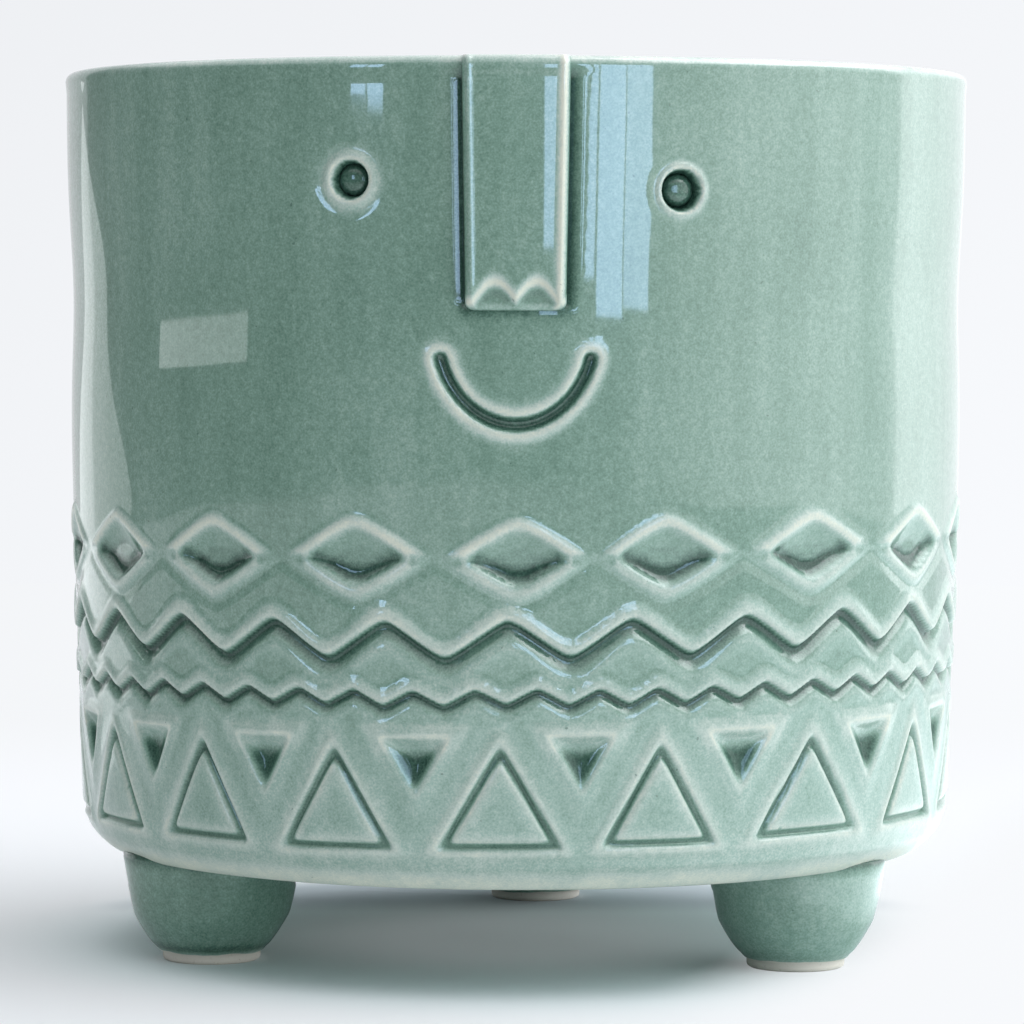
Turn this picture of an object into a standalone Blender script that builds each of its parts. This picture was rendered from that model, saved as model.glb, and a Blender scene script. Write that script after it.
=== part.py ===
"""Face planter: a glazed stoneware pot on three feet, with a smiling face and stamped bands.

The pot's wall is a turned shell. Its eye sockets, smile and bands are level lines drawn on the unrolled
wall, each line with its own height above or below the clay. The skin is triangulated between those lines
and wrapped back round the pot, so the stamped relief is part of the wall and no cutter is needed. The base
slab, the nose, the two beads in the eye sockets and the three feet were made apart from the wall, and each
is an object of its own here, one fit gap clear of what it is luted to.

Metres, +Z up. The origin is on the ground on the pot's axis, and the face looks along -Y. An angle round
the pot is counted from the face, positive towards +X.
"""

import math

import bmesh
import bpy
from mathutils import Matrix, Vector
from mathutils.geometry import delaunay_2d_cdt

# Body of the pot
HEIGHT = 0.146  # ground to the top of the lip
RIM_RADIUS = 0.0757  # outer radius at the rim
LOW_RADIUS = 0.0730  # outer radius where the bottom corner begins
WAIST_DEPTH = 0.0008  # how far the wall draws in behind the smile
WAIST_DROP = 0.037  # rim down to the narrowest part of the waist
WAIST_SPREAD = 0.014  # half the height over which the waist fades out
FOOT_HEIGHT = 0.017  # ground to the underside of the pot
EDGE_RADIUS = 0.0681  # outer radius of the underside
CORNER_RISE = 0.009  # height of the rounded bottom corner
WALL_THICKNESS = 0.005
FLOOR_THICKNESS = 0.005
SEAT_WIDTH = 0.002  # width of the wall's own underside, round the base slab
FLOOR_CHAMFER = 0.0005
INSIDE_FILLET = 0.004  # height of the hollow where the wall meets the base slab
FIT_GAP = 0.0003  # clearance between pieces that were luted together
COLUMNS = 72  # facets round the pot

# Face: drops are measured down from the top of the lip
EYE_ANGLE = 19.8  # degrees each side of the middle of the face
EYE_DROP = 0.0190
EYE_SLIP = 0.0015  # the eye on +X was pressed in this much lower
EYE_HOLE_RADIUS = 0.0030
EYE_HOLE_TAPER = 0.0006  # how much narrower the socket is at its bottom
EYE_DEPTH = 0.0028
EYE_LIP_WIDTH = 0.0022
EYE_LIP_HEIGHT = 0.00045
BEAD_CLEARANCE = 0.0005  # round the bead at the bottom of its socket
BEAD_HEIGHT = 0.0011
SMILE_RADIUS = 0.0119
SMILE_DROP = 0.0446  # to the centre of the smile's arc
SMILE_HALF_ANGLE = 85.0  # degrees each side of straight down
SMILE_WIDTH = 0.0020
SMILE_DEPTH = 0.0013
NOSE_TOP_WIDTH = 0.0168
NOSE_TIP_WIDTH = 0.0156
NOSE_LENGTH = 0.0390  # from the top of the lip to the tip
NOSE_RELIEF = 0.0021  # thickness of the strip
NOSE_SHOULDER = 0.0013  # width of its rounded sides
NOSTRIL_RISE = 0.0032  # height of the two arches pressed into the tip
NOSE_TOP_GAP = 0.0004  # the strip stops this far below the top of the lip

# Stamped bands: rises are measured up from the underside of the pot
LIP_WIDTH = 0.0017  # clay pushed up along a stamped edge
LIP_HEIGHT = 0.0003
DIAMOND_COUNT = 18
DIAMOND_TURN = 0.4  # degrees from the middle of the face
DIAMOND_RISE = 0.0519
DIAMOND_WIDTH = 0.0198
DIAMOND_HEIGHT = 0.0115
DIAMOND_DEPTH = 0.0016
BIG_TEETH = 24
BIG_TURN = -0.6
BIG_RISE = 0.0385
BIG_SWING = 0.0027  # half the height from a valley to a peak
BIG_GROOVE_WIDTH = 0.0022
BIG_GROOVE_DEPTH = 0.0015
SMALL_TEETH = 48
SMALL_TURN = 2.5
SMALL_RISE = 0.0299
SMALL_SWING = 0.00105
SMALL_GROOVE_WIDTH = 0.0016
SMALL_GROOVE_DEPTH = 0.0011
TRIANGLE_COUNT = 18
TRIANGLE_TURN = -1.6
TRIANGLE_RISE = 0.0068  # to the lower edge of the groove
TRIANGLE_WIDTH = 0.0199
TRIANGLE_HEIGHT = 0.0167
TRIANGLE_GROOVE_WIDTH = 0.0013
TRIANGLE_GROOVE_DEPTH = 0.0011
NOTCH_RISE = 0.0240  # to the top edge of the small triangles that point down
NOTCH_WIDTH = 0.0106
NOTCH_HEIGHT = 0.0084
NOTCH_DEPTH = 0.0016

# Feet
FOOT_COUNT = 3
FOOT_TURN = -4.0  # degrees that the first foot is off the middle of the back
FOOT_RING_RADIUS = 0.0554  # pot's axis to a foot's axis
FOOT_TOP_RADIUS = 0.0145
FOOT_WAIST_RADIUS = 0.0126  # where the foot starts to round in
FOOT_WAIST_HEIGHT = 0.0074
FOOT_BASE_RADIUS = 0.0080
FOOT_CLAY_HEIGHT = 0.0016  # bare clay below the glaze line
FOOT_GLAZE_STEP = 0.0006  # how far the glaze stands proud of the bare clay
FOOT_SEGMENTS = 22


def clear_scene():
    """Remove every object, so that the script can run in any open file."""
    for scene_object in list(bpy.data.objects):
        bpy.data.objects.remove(scene_object, do_unlink=True)


def make_material(name, colour, roughness):
    """A Principled material with a plain colour."""
    material = bpy.data.materials.new(name)
    material.use_nodes = True
    shader = material.node_tree.nodes["Principled BSDF"]
    shader.inputs["Base Color"].default_value = (*colour, 1.0)
    shader.inputs["Roughness"].default_value = roughness
    shader.inputs["Metallic"].default_value = 0.0
    material.diffuse_color = (*colour, 1.0)
    return material


def make_object(name, bm, materials, sharp_degrees=40.0):
    """Close a bmesh into a smooth-shaded object whose faces point outwards."""
    bmesh.ops.recalc_face_normals(bm, faces=bm.faces)
    if bm.calc_volume(signed=True) < 0.0:
        bmesh.ops.reverse_faces(bm, faces=bm.faces)
    mesh = bpy.data.meshes.new(name)
    bm.to_mesh(mesh)
    bm.free()
    mesh.shade_smooth()
    mesh.set_sharp_from_angle(angle=math.radians(sharp_degrees))
    for material in materials:
        mesh.materials.append(material)
    made = bpy.data.objects.new(name, mesh)
    bpy.context.scene.collection.objects.link(made)
    return made


# The outline of the pot


def upper_radius(z):
    """Outer radius of the wall above its bottom corner: a slow curve with a slight waist."""
    corner_top = FOOT_HEIGHT + CORNER_RISE
    share = (HEIGHT - z) / (HEIGHT - corner_top)
    swell = RIM_RADIUS - (RIM_RADIUS - LOW_RADIUS) * share * share
    from_waist = (HEIGHT - WAIST_DROP - z) / WAIST_SPREAD
    return swell - WAIST_DEPTH * math.exp(-from_waist * from_waist)


def wall_radius(z):
    """Outer radius of the wall, bottom corner included, below the lip."""
    corner_top = FOOT_HEIGHT + CORNER_RISE
    if z >= corner_top:
        return upper_radius(z)
    share = (corner_top - z) / CORNER_RISE
    drawn_in = upper_radius(corner_top) - EDGE_RADIUS
    return upper_radius(corner_top) - drawn_in * share**2.8


def lip_radius():
    """Radius of the half-round lip, which is as thick as the wall."""
    return WALL_THICKNESS / 2


def lip_centre_z():
    """Height of the middle of the half-round lip."""
    return HEIGHT - lip_radius()


def seat_radius():
    """Radius of the opening in the wall's underside that takes the base slab."""
    return EDGE_RADIUS - SEAT_WIDTH


def floor_top():
    """Height of the base slab's upper face."""
    return FOOT_HEIGHT + FLOOR_THICKNESS


def on_pot(theta, radius, z):
    """The point at an angle round the pot, a radius and a height."""
    return Vector((radius * math.sin(theta), -radius * math.cos(theta), z))


# Level lines on the unrolled wall


class ReliefSheet:
    """Level lines of the wall's relief, as (angle, height, relief) points joined by edges."""

    def __init__(self):
        self.points = []
        self.edges = []

    def add_point(self, theta, z, relief=0.0):
        """Add one free point and return its index."""
        self.points.append((theta, z, relief))
        return len(self.points) - 1

    def add_loop(self, line, relief):
        """Add a closed line of (angle, height) points that all lie at one relief."""
        indices = [self.add_point(theta, z, relief) for theta, z in line]
        self.edges.extend(zip(indices, indices[1:] + indices[:1]))
        return indices

    def triangulate(self):
        """Triangles between the lines, found on a ring where the wall closes on itself without a seam."""
        scale = RIM_RADIUS
        flat = []
        for theta, z, _ in self.points:
            distance = math.exp(z / scale)
            flat.append(Vector((distance * math.sin(theta), -distance * math.cos(theta))))
        found, _, faces, origins, _, _ = delaunay_2d_cdt(flat, self.edges, [], 0, 1e-7, True)
        points = []
        for place, sources in zip(found, origins):
            if sources:
                points.append(self.points[sources[0]])
            else:
                points.append((math.atan2(place.x, -place.y), scale * math.log(place.length), 0.0))
        return points, faces


def arc_angle(length):
    """Angle round the pot that spans a length along the wall."""
    return length / RIM_RADIUS


def polygon_line(theta, z, corners, splits):
    """A closed polygon of (across, up) corners about a point, with each side split up."""
    line = []
    for (x0, z0), (x1, z1) in zip(corners, corners[1:] + corners[:1]):
        for step in range(splits):
            share = step / splits
            across = x0 + (x1 - x0) * share
            up = z0 + (z1 - z0) * share
            line.append((theta + arc_angle(across), z + up))
    return line


def turned_places(count, turn):
    """Angles of a pattern that repeats round the pot."""
    return [math.radians(turn) + math.tau * step / count for step in range(count)]


def add_diamonds(sheet):
    """A row of stamped diamonds: raised lip, sloping sides and a flat floor."""
    centre_z = FOOT_HEIGHT + DIAMOND_RISE
    half_width = DIAMOND_WIDTH / 2
    half_height = DIAMOND_HEIGHT / 2
    levels = [
        (half_width + LIP_WIDTH, half_height + 1.2 * LIP_WIDTH, 0.0),
        (half_width + 0.4 * LIP_WIDTH, half_height + 0.45 * LIP_WIDTH, LIP_HEIGHT),
        (half_width, half_height, 0.0),
        (0.58 * half_width, 0.52 * half_height, -DIAMOND_DEPTH),
    ]
    for theta in turned_places(DIAMOND_COUNT, DIAMOND_TURN):
        for across, up, relief in levels:
            corners = [(across, 0.0), (0.0, up), (-across, 0.0), (0.0, -up)]
            sheet.add_loop(polygon_line(theta, centre_z, corners, 2), relief)
        sheet.add_point(theta, centre_z, -DIAMOND_DEPTH)


def zigzag_line(rise, swing, teeth, turn, offset, per_tooth):
    """A closed zigzag round the pot, moved square to its own sides by an offset."""
    half_pitch = math.pi * RIM_RADIUS / teeth
    stretch = math.hypot(half_pitch, 2 * swing) / half_pitch
    steps = teeth * per_tooth
    line = []
    for step in range(steps):
        phase = (step % per_tooth) / per_tooth
        wave = 1.0 - 4.0 * min(phase, 1.0 - phase)
        theta = math.radians(turn) + math.tau * step / steps
        line.append((theta, FOOT_HEIGHT + rise + swing * wave + offset * stretch))
    return line


def add_zigzag(sheet, rise, swing, teeth, turn, width, depth, per_tooth):
    """A zigzag groove with a raised lip above it and a softer one below."""
    levels = [
        (width / 2 + 1.1 * LIP_WIDTH, 0.0),
        (width / 2 + 0.45 * LIP_WIDTH, LIP_HEIGHT),
        (width / 2, 0.0),
        (0.0, -depth),
        (-width / 2, -0.1 * depth),
        (-width / 2 - 0.7 * LIP_WIDTH, 0.0),
    ]
    for offset, relief in levels:
        sheet.add_loop(zigzag_line(rise, swing, teeth, turn, offset, per_tooth), relief)


def triangle_corners(width, height, grow, point_up):
    """Corners of an isosceles triangle about the middle of its base, moved outwards by a margin."""
    side = math.hypot(width / 2, height)
    tip = grow * side / (width / 2)
    spread = grow * (side + width / 2) / height
    half = width / 2 + spread
    sign = 1.0 if point_up else -1.0
    return [(-half, -sign * grow), (half, -sign * grow), (0.0, sign * (height + tip))]


def add_triangles(sheet):
    """A row of upright triangles, each a groove round a raised pillow."""
    base_z = FOOT_HEIGHT + TRIANGLE_RISE
    levels = [
        (0.62 * LIP_WIDTH, 0.0),
        (0.30 * LIP_WIDTH, 0.7 * LIP_HEIGHT),
        (0.0, 0.0),
        (-TRIANGLE_GROOVE_WIDTH / 2, -TRIANGLE_GROOVE_DEPTH),
        (-TRIANGLE_GROOVE_WIDTH, -0.15 * TRIANGLE_GROOVE_DEPTH),
        (-2.2 * TRIANGLE_GROOVE_WIDTH, 0.1 * TRIANGLE_GROOVE_DEPTH),
    ]
    for theta in turned_places(TRIANGLE_COUNT, TRIANGLE_TURN):
        for grow, relief in levels:
            corners = triangle_corners(TRIANGLE_WIDTH, TRIANGLE_HEIGHT, grow, True)
            sheet.add_loop(polygon_line(theta, base_z, corners, 3), relief)
        sheet.add_point(theta, base_z + TRIANGLE_HEIGHT / 3, 0.0)


def add_notches(sheet):
    """Small triangles that point down between the upright ones, pressed in like the diamonds."""
    top_z = FOOT_HEIGHT + NOTCH_RISE
    half_pitch = 180.0 / TRIANGLE_COUNT
    levels = [
        (0.75 * LIP_WIDTH, 0.0),
        (0.35 * LIP_WIDTH, LIP_HEIGHT),
        (0.0, 0.0),
        (-0.18 * NOTCH_HEIGHT, -NOTCH_DEPTH),
    ]
    for theta in turned_places(TRIANGLE_COUNT, TRIANGLE_TURN + half_pitch):
        for grow, relief in levels:
            corners = triangle_corners(NOTCH_WIDTH, NOTCH_HEIGHT, grow, False)
            sheet.add_loop(polygon_line(theta, top_z, corners, 2), relief)
        sheet.add_point(theta, top_z - NOTCH_HEIGHT / 3, -NOTCH_DEPTH)


def smile_line(offset):
    """A closed line at an offset round the smile's arc, with round ends."""
    centre_z = HEIGHT - SMILE_DROP
    half_angle = math.radians(SMILE_HALF_ANGLE)
    steps = 12
    line = []
    for side in (1.0, -1.0):
        for step in range(steps + 1):
            angle = side * half_angle * (2 * step / steps - 1)
            radius = SMILE_RADIUS + side * offset
            line.append((radius * math.sin(angle), -radius * math.cos(angle)))
        end = side * half_angle
        for step in range(1, 4):
            turn = end + math.pi * step / 4
            line.append(
                (
                    SMILE_RADIUS * math.sin(end) + side * offset * math.sin(turn),
                    -SMILE_RADIUS * math.cos(end) - side * offset * math.cos(turn),
                )
            )
    return [(arc_angle(across), centre_z + up) for across, up in line]


def smile_distance(theta, z):
    """Distance along the wall from a point to the smile's arc."""
    across = theta * RIM_RADIUS
    up = z - (HEIGHT - SMILE_DROP)
    half_angle = math.radians(SMILE_HALF_ANGLE)
    angle = max(-half_angle, min(half_angle, math.atan2(across, -up)))
    near_x = SMILE_RADIUS * math.sin(angle)
    near_z = -SMILE_RADIUS * math.cos(angle)
    return math.hypot(across - near_x, up - near_z)


def add_smile(sheet):
    """The smile: a round-ended groove along an arc, with soft lips."""
    half = SMILE_WIDTH / 2
    levels = [
        (half + LIP_WIDTH, 0.0),
        (half + 0.45 * LIP_WIDTH, LIP_HEIGHT),
        (half, 0.0),
        (0.35 * half, -SMILE_DEPTH),
    ]
    for offset, relief in levels:
        sheet.add_loop(smile_line(offset), relief)


def eye_places():
    """Angle and height of each eye, with its name: the left one is on the left of the face as seen."""
    angle = math.radians(EYE_ANGLE)
    return {
        "left": (-angle, HEIGHT - EYE_DROP),
        "right": (angle, HEIGHT - EYE_DROP - EYE_SLIP),
    }


def eye_floor_radius():
    """Radius of the bottom of an eye socket."""
    return EYE_HOLE_RADIUS - EYE_HOLE_TAPER


def add_eyes(sheet):
    """The eye sockets: a round lip and a hole with a flat bottom for the bead."""
    levels = [
        (EYE_HOLE_RADIUS + EYE_LIP_WIDTH, 0.0),
        (EYE_HOLE_RADIUS + 0.5 * EYE_LIP_WIDTH, 0.75 * EYE_LIP_HEIGHT),
        (EYE_HOLE_RADIUS + 0.2 * EYE_LIP_WIDTH, EYE_LIP_HEIGHT),
        (EYE_HOLE_RADIUS, 0.0),
        (EYE_HOLE_RADIUS - 0.6 * EYE_HOLE_TAPER, -0.3 * EYE_DEPTH),
        (eye_floor_radius(), -EYE_DEPTH),
    ]
    steps = 18
    for theta, z in eye_places().values():
        for radius, relief in levels:
            circle = []
            for step in range(steps):
                turn = math.tau * step / steps
                circle.append((theta + arc_angle(radius * math.cos(turn)), z + radius * math.sin(turn)))
            sheet.add_loop(circle, relief)
        sheet.add_point(theta, z, -EYE_DEPTH)


def is_plain(theta, z):
    """Whether a point of the wall is clear of the face's relief."""
    theta = math.remainder(theta, math.tau)
    clear = 1.6 * LIP_WIDTH
    for eye_theta, eye_z in eye_places().values():
        across = (theta - eye_theta) * RIM_RADIUS
        if math.hypot(across, z - eye_z) < EYE_HOLE_RADIUS + EYE_LIP_WIDTH + clear:
            return False
    return smile_distance(theta, z) > SMILE_WIDTH / 2 + LIP_WIDTH + clear


def add_plain_rows(sheet):
    """Points of the plain wall between the bands and the lip, so that it stays round."""
    low = FOOT_HEIGHT + DIAMOND_RISE + DIAMOND_HEIGHT / 2 + 2.4 * LIP_WIDTH
    high = lip_centre_z()
    rows = 7
    for row in range(rows):
        z = low + (high - low) * row / rows
        for step in range(COLUMNS):
            theta = math.tau * (step + 0.5 * (row % 2)) / COLUMNS
            if is_plain(theta, z):
                sheet.add_point(theta, z)


# The pieces


def skin_bottom():
    """Height of the lowest line of the relief sheet, just under the triangles."""
    return FOOT_HEIGHT + TRIANGLE_RISE - 1.2 * LIP_WIDTH


def inner_rings():
    """Radii and heights of the rings from the lip over the inside and the underside to the skin."""
    rim_middle = wall_radius(lip_centre_z()) - lip_radius()
    rings = []
    for step in range(1, 7):
        turn = math.pi * step / 6
        rings.append((rim_middle + lip_radius() * math.cos(turn), lip_centre_z() + lip_radius() * math.sin(turn)))
    fillet_top = floor_top() + INSIDE_FILLET
    for step in range(1, 6):
        z = lip_centre_z() + (fillet_top - lip_centre_z()) * step / 5
        rings.append((wall_radius(z) - WALL_THICKNESS, z))
    drawn_in = wall_radius(fillet_top) - WALL_THICKNESS - seat_radius()
    rings.append((seat_radius() + 0.35 * drawn_in, floor_top() + 0.3 * INSIDE_FILLET))
    rings.append((seat_radius(), floor_top()))
    rings.append((seat_radius(), FOOT_HEIGHT))
    rings.append((EDGE_RADIUS, FOOT_HEIGHT))
    corner = skin_bottom() - FOOT_HEIGHT
    for share in (0.12, 0.3, 0.6):
        z = FOOT_HEIGHT + corner * share
        rings.append((wall_radius(z), z))
    return rings


def build_wall(material):
    """The turned wall with its lip, its relief skin and the open seat for the base slab."""
    sheet = ReliefSheet()
    around = turned_places(COLUMNS, 0.0)
    bottom = sheet.add_loop([(theta, skin_bottom()) for theta in around], 0.0)
    top = sheet.add_loop([(theta, lip_centre_z()) for theta in around], 0.0)
    add_eyes(sheet)
    add_smile(sheet)
    add_diamonds(sheet)
    add_zigzag(
        sheet, BIG_RISE, BIG_SWING, BIG_TEETH, BIG_TURN, BIG_GROOVE_WIDTH, BIG_GROOVE_DEPTH, 4
    )
    add_zigzag(
        sheet, SMALL_RISE, SMALL_SWING, SMALL_TEETH, SMALL_TURN, SMALL_GROOVE_WIDTH, SMALL_GROOVE_DEPTH, 2
    )
    add_triangles(sheet)
    add_notches(sheet)
    add_plain_rows(sheet)
    points, faces = sheet.triangulate()

    bm = bmesh.new()
    verts = [bm.verts.new(on_pot(theta, wall_radius(z) + relief, z)) for theta, z, relief in points]
    found = {}
    for index, (theta, z, _) in enumerate(points):
        found[(round(math.remainder(theta, math.tau), 6), round(z, 7))] = index
    hole = set()
    rims = []
    for line in (bottom, top):
        keys = [sheet.points[index][:2] for index in line]
        rims.append([found[(round(math.remainder(t, math.tau), 6), round(z, 7))] for t, z in keys])
    hole.update(rims[0])
    for face in faces:
        if not hole.issuperset(face):
            bm.faces.new([verts[index] for index in face])

    ring = [verts[index] for index in rims[1]]
    last = [verts[index] for index in rims[0]]
    rings = [[bm.verts.new(on_pot(theta, radius, z)) for theta in around] for radius, z in inner_rings()]
    for following in rings + [last]:
        for step in range(COLUMNS):
            after = (step + 1) % COLUMNS
            bm.faces.new((ring[step], ring[after], following[after], following[step]))
        ring = following
    unused = [vert for vert in bm.verts if not vert.link_faces]
    bmesh.ops.delete(bm, geom=unused, context="VERTS")
    return make_object("pot_wall", bm, [material], 35.0)


def build_turned(name, profile, segments, materials, cap_material=0):
    """A solid turned from (radius, height) points, closed by flat ends."""
    bm = bmesh.new()
    rings = []
    for radius, z in profile:
        circle = []
        for step in range(segments):
            circle.append(bm.verts.new(on_pot(math.tau * step / segments, radius, z)))
        rings.append(circle)
    for lower, upper in zip(rings, rings[1:]):
        for step in range(segments):
            after = (step + 1) % segments
            bm.faces.new((lower[step], lower[after], upper[after], upper[step]))
    base = bm.faces.new(rings[0])
    bm.faces.new(rings[-1])
    base.material_index = cap_material
    return make_object(name, bm, materials)


def build_floor(material):
    """The base slab, one fit gap inside the wall's seat."""
    radius = seat_radius() - FIT_GAP
    profile = [
        (radius - FLOOR_CHAMFER, FOOT_HEIGHT),
        (radius, FOOT_HEIGHT + FLOOR_CHAMFER),
        (radius, floor_top() - FLOOR_CHAMFER),
        (radius - FLOOR_CHAMFER, floor_top()),
    ]
    return build_turned("pot_floor", profile, COLUMNS, [material])


def nose_back_radius(z):
    """Radius of the strip's back, one fit gap off the wall and the lip."""
    if z <= lip_centre_z():
        return wall_radius(z) + FIT_GAP
    reach = lip_radius() + FIT_GAP
    above = z - lip_centre_z()
    middle = wall_radius(lip_centre_z()) - lip_radius()
    return middle + math.sqrt(max(reach * reach - above * above, 0.0))


def nose_front_radius(z):
    """Radius of the strip's front, which turns in over the lip at its top."""
    if z <= lip_centre_z():
        return wall_radius(z) + FIT_GAP + NOSE_RELIEF
    reach = lip_radius() + FIT_GAP + NOSE_RELIEF
    share = (z - lip_centre_z()) / (lip_radius() + FIT_GAP)
    middle = wall_radius(lip_centre_z()) - lip_radius()
    return middle + reach * math.sqrt(max(1.0 - share * share, 0.0))


def nose_half_width(z):
    """Half the width of the strip, which narrows towards its tip."""
    share = (HEIGHT - z) / NOSE_LENGTH
    return (NOSE_TOP_WIDTH + (NOSE_TIP_WIDTH - NOSE_TOP_WIDTH) * share) / 2


def nose_columns():
    """Places across the strip, from one side to the other, as shares of its half width."""
    steps = 16
    return [2.0 * step / steps - 1.0 for step in range(steps + 1)]


def nostril_wave(across):
    """How far the front's lower edge is pressed up, from 0 at the corners and the middle to 1."""
    return math.sin(math.pi * min(abs(across), 1.0)) ** 1.2


def nose_levels():
    """Rows of the strip from its tip up: its height and its share of the relief at a place across."""
    tip = HEIGHT - NOSE_LENGTH
    top = HEIGHT - NOSE_TOP_GAP
    inset = NOSE_SHOULDER
    rows = [
        (lambda wave: tip, lambda wave: 0.12),
        (
            lambda wave: tip + 0.3 * inset + 0.72 * NOSTRIL_RISE * wave,
            lambda wave: 0.5 - 0.3 * wave,
        ),
        (lambda wave: tip + 0.7 * inset + NOSTRIL_RISE * wave, lambda wave: 0.92),
        (lambda wave: tip + 1.4 * inset + 1.15 * NOSTRIL_RISE * wave, lambda wave: 1.0),
    ]
    start = tip + 1.6 * inset + 1.3 * NOSTRIL_RISE
    straight = lip_centre_z()
    for step in range(4):
        height = start + (straight - start) * (step + 1) / 4
        rows.append((lambda wave, height=height: height, lambda wave: 1.0))
    for step in range(1, 4):
        height = straight + (top - straight) * math.sin(math.pi * step / 6)
        rows.append((lambda wave, height=height: height, lambda wave: 1.0))
    return rows


def side_share(across, half_width):
    """Share of the relief at a place across, rounded off towards the strip's sides."""
    from_side = (1.0 - abs(across)) * half_width
    share = min(from_side / NOSE_SHOULDER, 1.0)
    return 0.12 + 0.88 * math.sqrt(1.0 - (1.0 - share) ** 2)


def build_nose(material):
    """The nose: a clay strip laid down the wall from the lip, with two nostrils pressed into its tip."""
    bm = bmesh.new()
    fronts = []
    backs = []
    for height_at, level_at in nose_levels():
        front_row = []
        back_row = []
        for place in nose_columns():
            across = math.sin(0.5 * math.pi * place)
            wave = nostril_wave(across)
            z = height_at(wave)
            half_width = nose_half_width(z)
            theta = arc_angle(across * half_width)
            back = nose_back_radius(z)
            full = nose_front_radius(z) - back
            share = min(level_at(wave), side_share(across, half_width))
            front_row.append(bm.verts.new(on_pot(theta, back + full * share, z)))
            back_row.append(bm.verts.new(on_pot(theta, back, z)))
        fronts.append(front_row)
        backs.append(back_row)
    last = len(fronts[0]) - 1
    for row in range(len(fronts) - 1):
        for column in range(last):
            for grid in (fronts, backs):
                bm.faces.new(
                    (
                        grid[row][column],
                        grid[row][column + 1],
                        grid[row + 1][column + 1],
                        grid[row + 1][column],
                    )
                )
        for column in (0, last):
            bm.faces.new(
                (fronts[row][column], fronts[row + 1][column], backs[row + 1][column], backs[row][column])
            )
    for row in (0, len(fronts) - 1):
        for column in range(last):
            bm.faces.new(
                (fronts[row][column], fronts[row][column + 1], backs[row][column + 1], backs[row][column])
            )
    return make_object("nose", bm, [material], 50.0)


def build_bead(name, theta, z, material):
    """A small dome of clay at the bottom of an eye socket, facing out of it."""
    radius = eye_floor_radius() - BEAD_CLEARANCE
    bm = bmesh.new()
    segments = 14
    rings = []
    for share in (0.0, 0.2, 0.5, 0.8):
        turn = 0.5 * math.pi * share
        circle = []
        for step in range(segments):
            around = math.tau * step / segments
            width = radius * math.cos(turn)
            circle.append(
                bm.verts.new((width * math.cos(around), width * math.sin(around), BEAD_HEIGHT * math.sin(turn)))
            )
        rings.append(circle)
    for lower, upper in zip(rings, rings[1:]):
        for step in range(segments):
            after = (step + 1) % segments
            bm.faces.new((lower[step], lower[after], upper[after], upper[step]))
    bm.faces.new(rings[0])
    crown = bm.verts.new((0.0, 0.0, BEAD_HEIGHT))
    for step in range(segments):
        bm.faces.new((rings[-1][step], rings[-1][(step + 1) % segments], crown))
    bead = make_object(name, bm, [material])
    outwards = on_pot(theta, 1.0, 0.0)
    bead.rotation_euler = outwards.to_track_quat("Z", "Y").to_euler()
    bead.location = on_pot(theta, wall_radius(z) - EYE_DEPTH + FIT_GAP, z)
    return bead


def foot_profile():
    """The foot's outline from the ground up: bare clay, glaze edge, rounded flank and flat top."""
    top = FOOT_HEIGHT - FIT_GAP
    glaze_edge = FOOT_BASE_RADIUS + FOOT_GLAZE_STEP
    profile = [
        (FOOT_BASE_RADIUS - 0.25 * FOOT_CLAY_HEIGHT, 0.0),
        (FOOT_BASE_RADIUS, 0.3 * FOOT_CLAY_HEIGHT),
        (FOOT_BASE_RADIUS, FOOT_CLAY_HEIGHT),
        (glaze_edge, 1.25 * FOOT_CLAY_HEIGHT),
    ]
    low = 1.25 * FOOT_CLAY_HEIGHT
    for share in (0.16, 0.4, 0.7, 1.0):
        radius = glaze_edge + (FOOT_WAIST_RADIUS - glaze_edge) * share**0.7
        profile.append((radius, low + (FOOT_WAIST_HEIGHT - low) * share))
    for share in (0.5, 1.0):
        radius = FOOT_WAIST_RADIUS + (FOOT_TOP_RADIUS - FOOT_WAIST_RADIUS) * share**0.8
        profile.append((radius, FOOT_WAIST_HEIGHT + (top - FOOT_WAIST_HEIGHT) * share))
    return profile


def build_feet(glaze, clay):
    """The feet, spaced evenly with the first one at the back, under a common empty."""
    holder = bpy.data.objects.new("feet", None)
    bpy.context.scene.collection.objects.link(holder)
    names = {0: "foot_rear", 1: "foot_front_left", 2: "foot_front_right"}
    for step in range(FOOT_COUNT):
        name = names.get(step, f"foot_{step}")
        foot = build_turned(name, foot_profile(), FOOT_SEGMENTS, [glaze, clay], 1)
        theta = math.pi + math.radians(FOOT_TURN) + math.tau * step / FOOT_COUNT
        foot.location = on_pot(theta, FOOT_RING_RADIUS, 0.0)
        foot.parent = holder
        for face in foot.data.polygons:
            if face.center.z < FOOT_CLAY_HEIGHT:
                face.material_index = 1


def main():
    """Build the planter."""
    clear_scene()
    build_wall(make_material("wall_glaze", (0.20, 0.31, 0.27), 0.12))
    build_floor(make_material("floor_glaze", (0.19, 0.30, 0.26), 0.15))
    build_nose(make_material("nose_glaze", (0.23, 0.34, 0.30), 0.12))
    bead_glaze = make_material("bead_glaze", (0.10, 0.19, 0.16), 0.10)
    for side, (theta, z) in eye_places().items():
        build_bead(f"eye_bead_{side}", theta, z, bead_glaze)
    foot_glaze = make_material("foot_glaze", (0.18, 0.29, 0.25), 0.13)
    build_feet(foot_glaze, make_material("foot_clay", (0.74, 0.72, 0.68), 0.80))


main()
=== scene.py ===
"""Looks of the face planter: a celadon-glazed stoneware pot with a smiling face, stamped bands and three feet.

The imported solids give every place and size. The turned body, its skin with the stamped bands, the nose, the
beads in the eye sockets, the base slab and the feet are built here again in full detail, each in the place
of its solid. Metres, +Z up; the face looks along -Y. An angle round the pot is counted from the face,
positive towards +X.
"""

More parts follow.
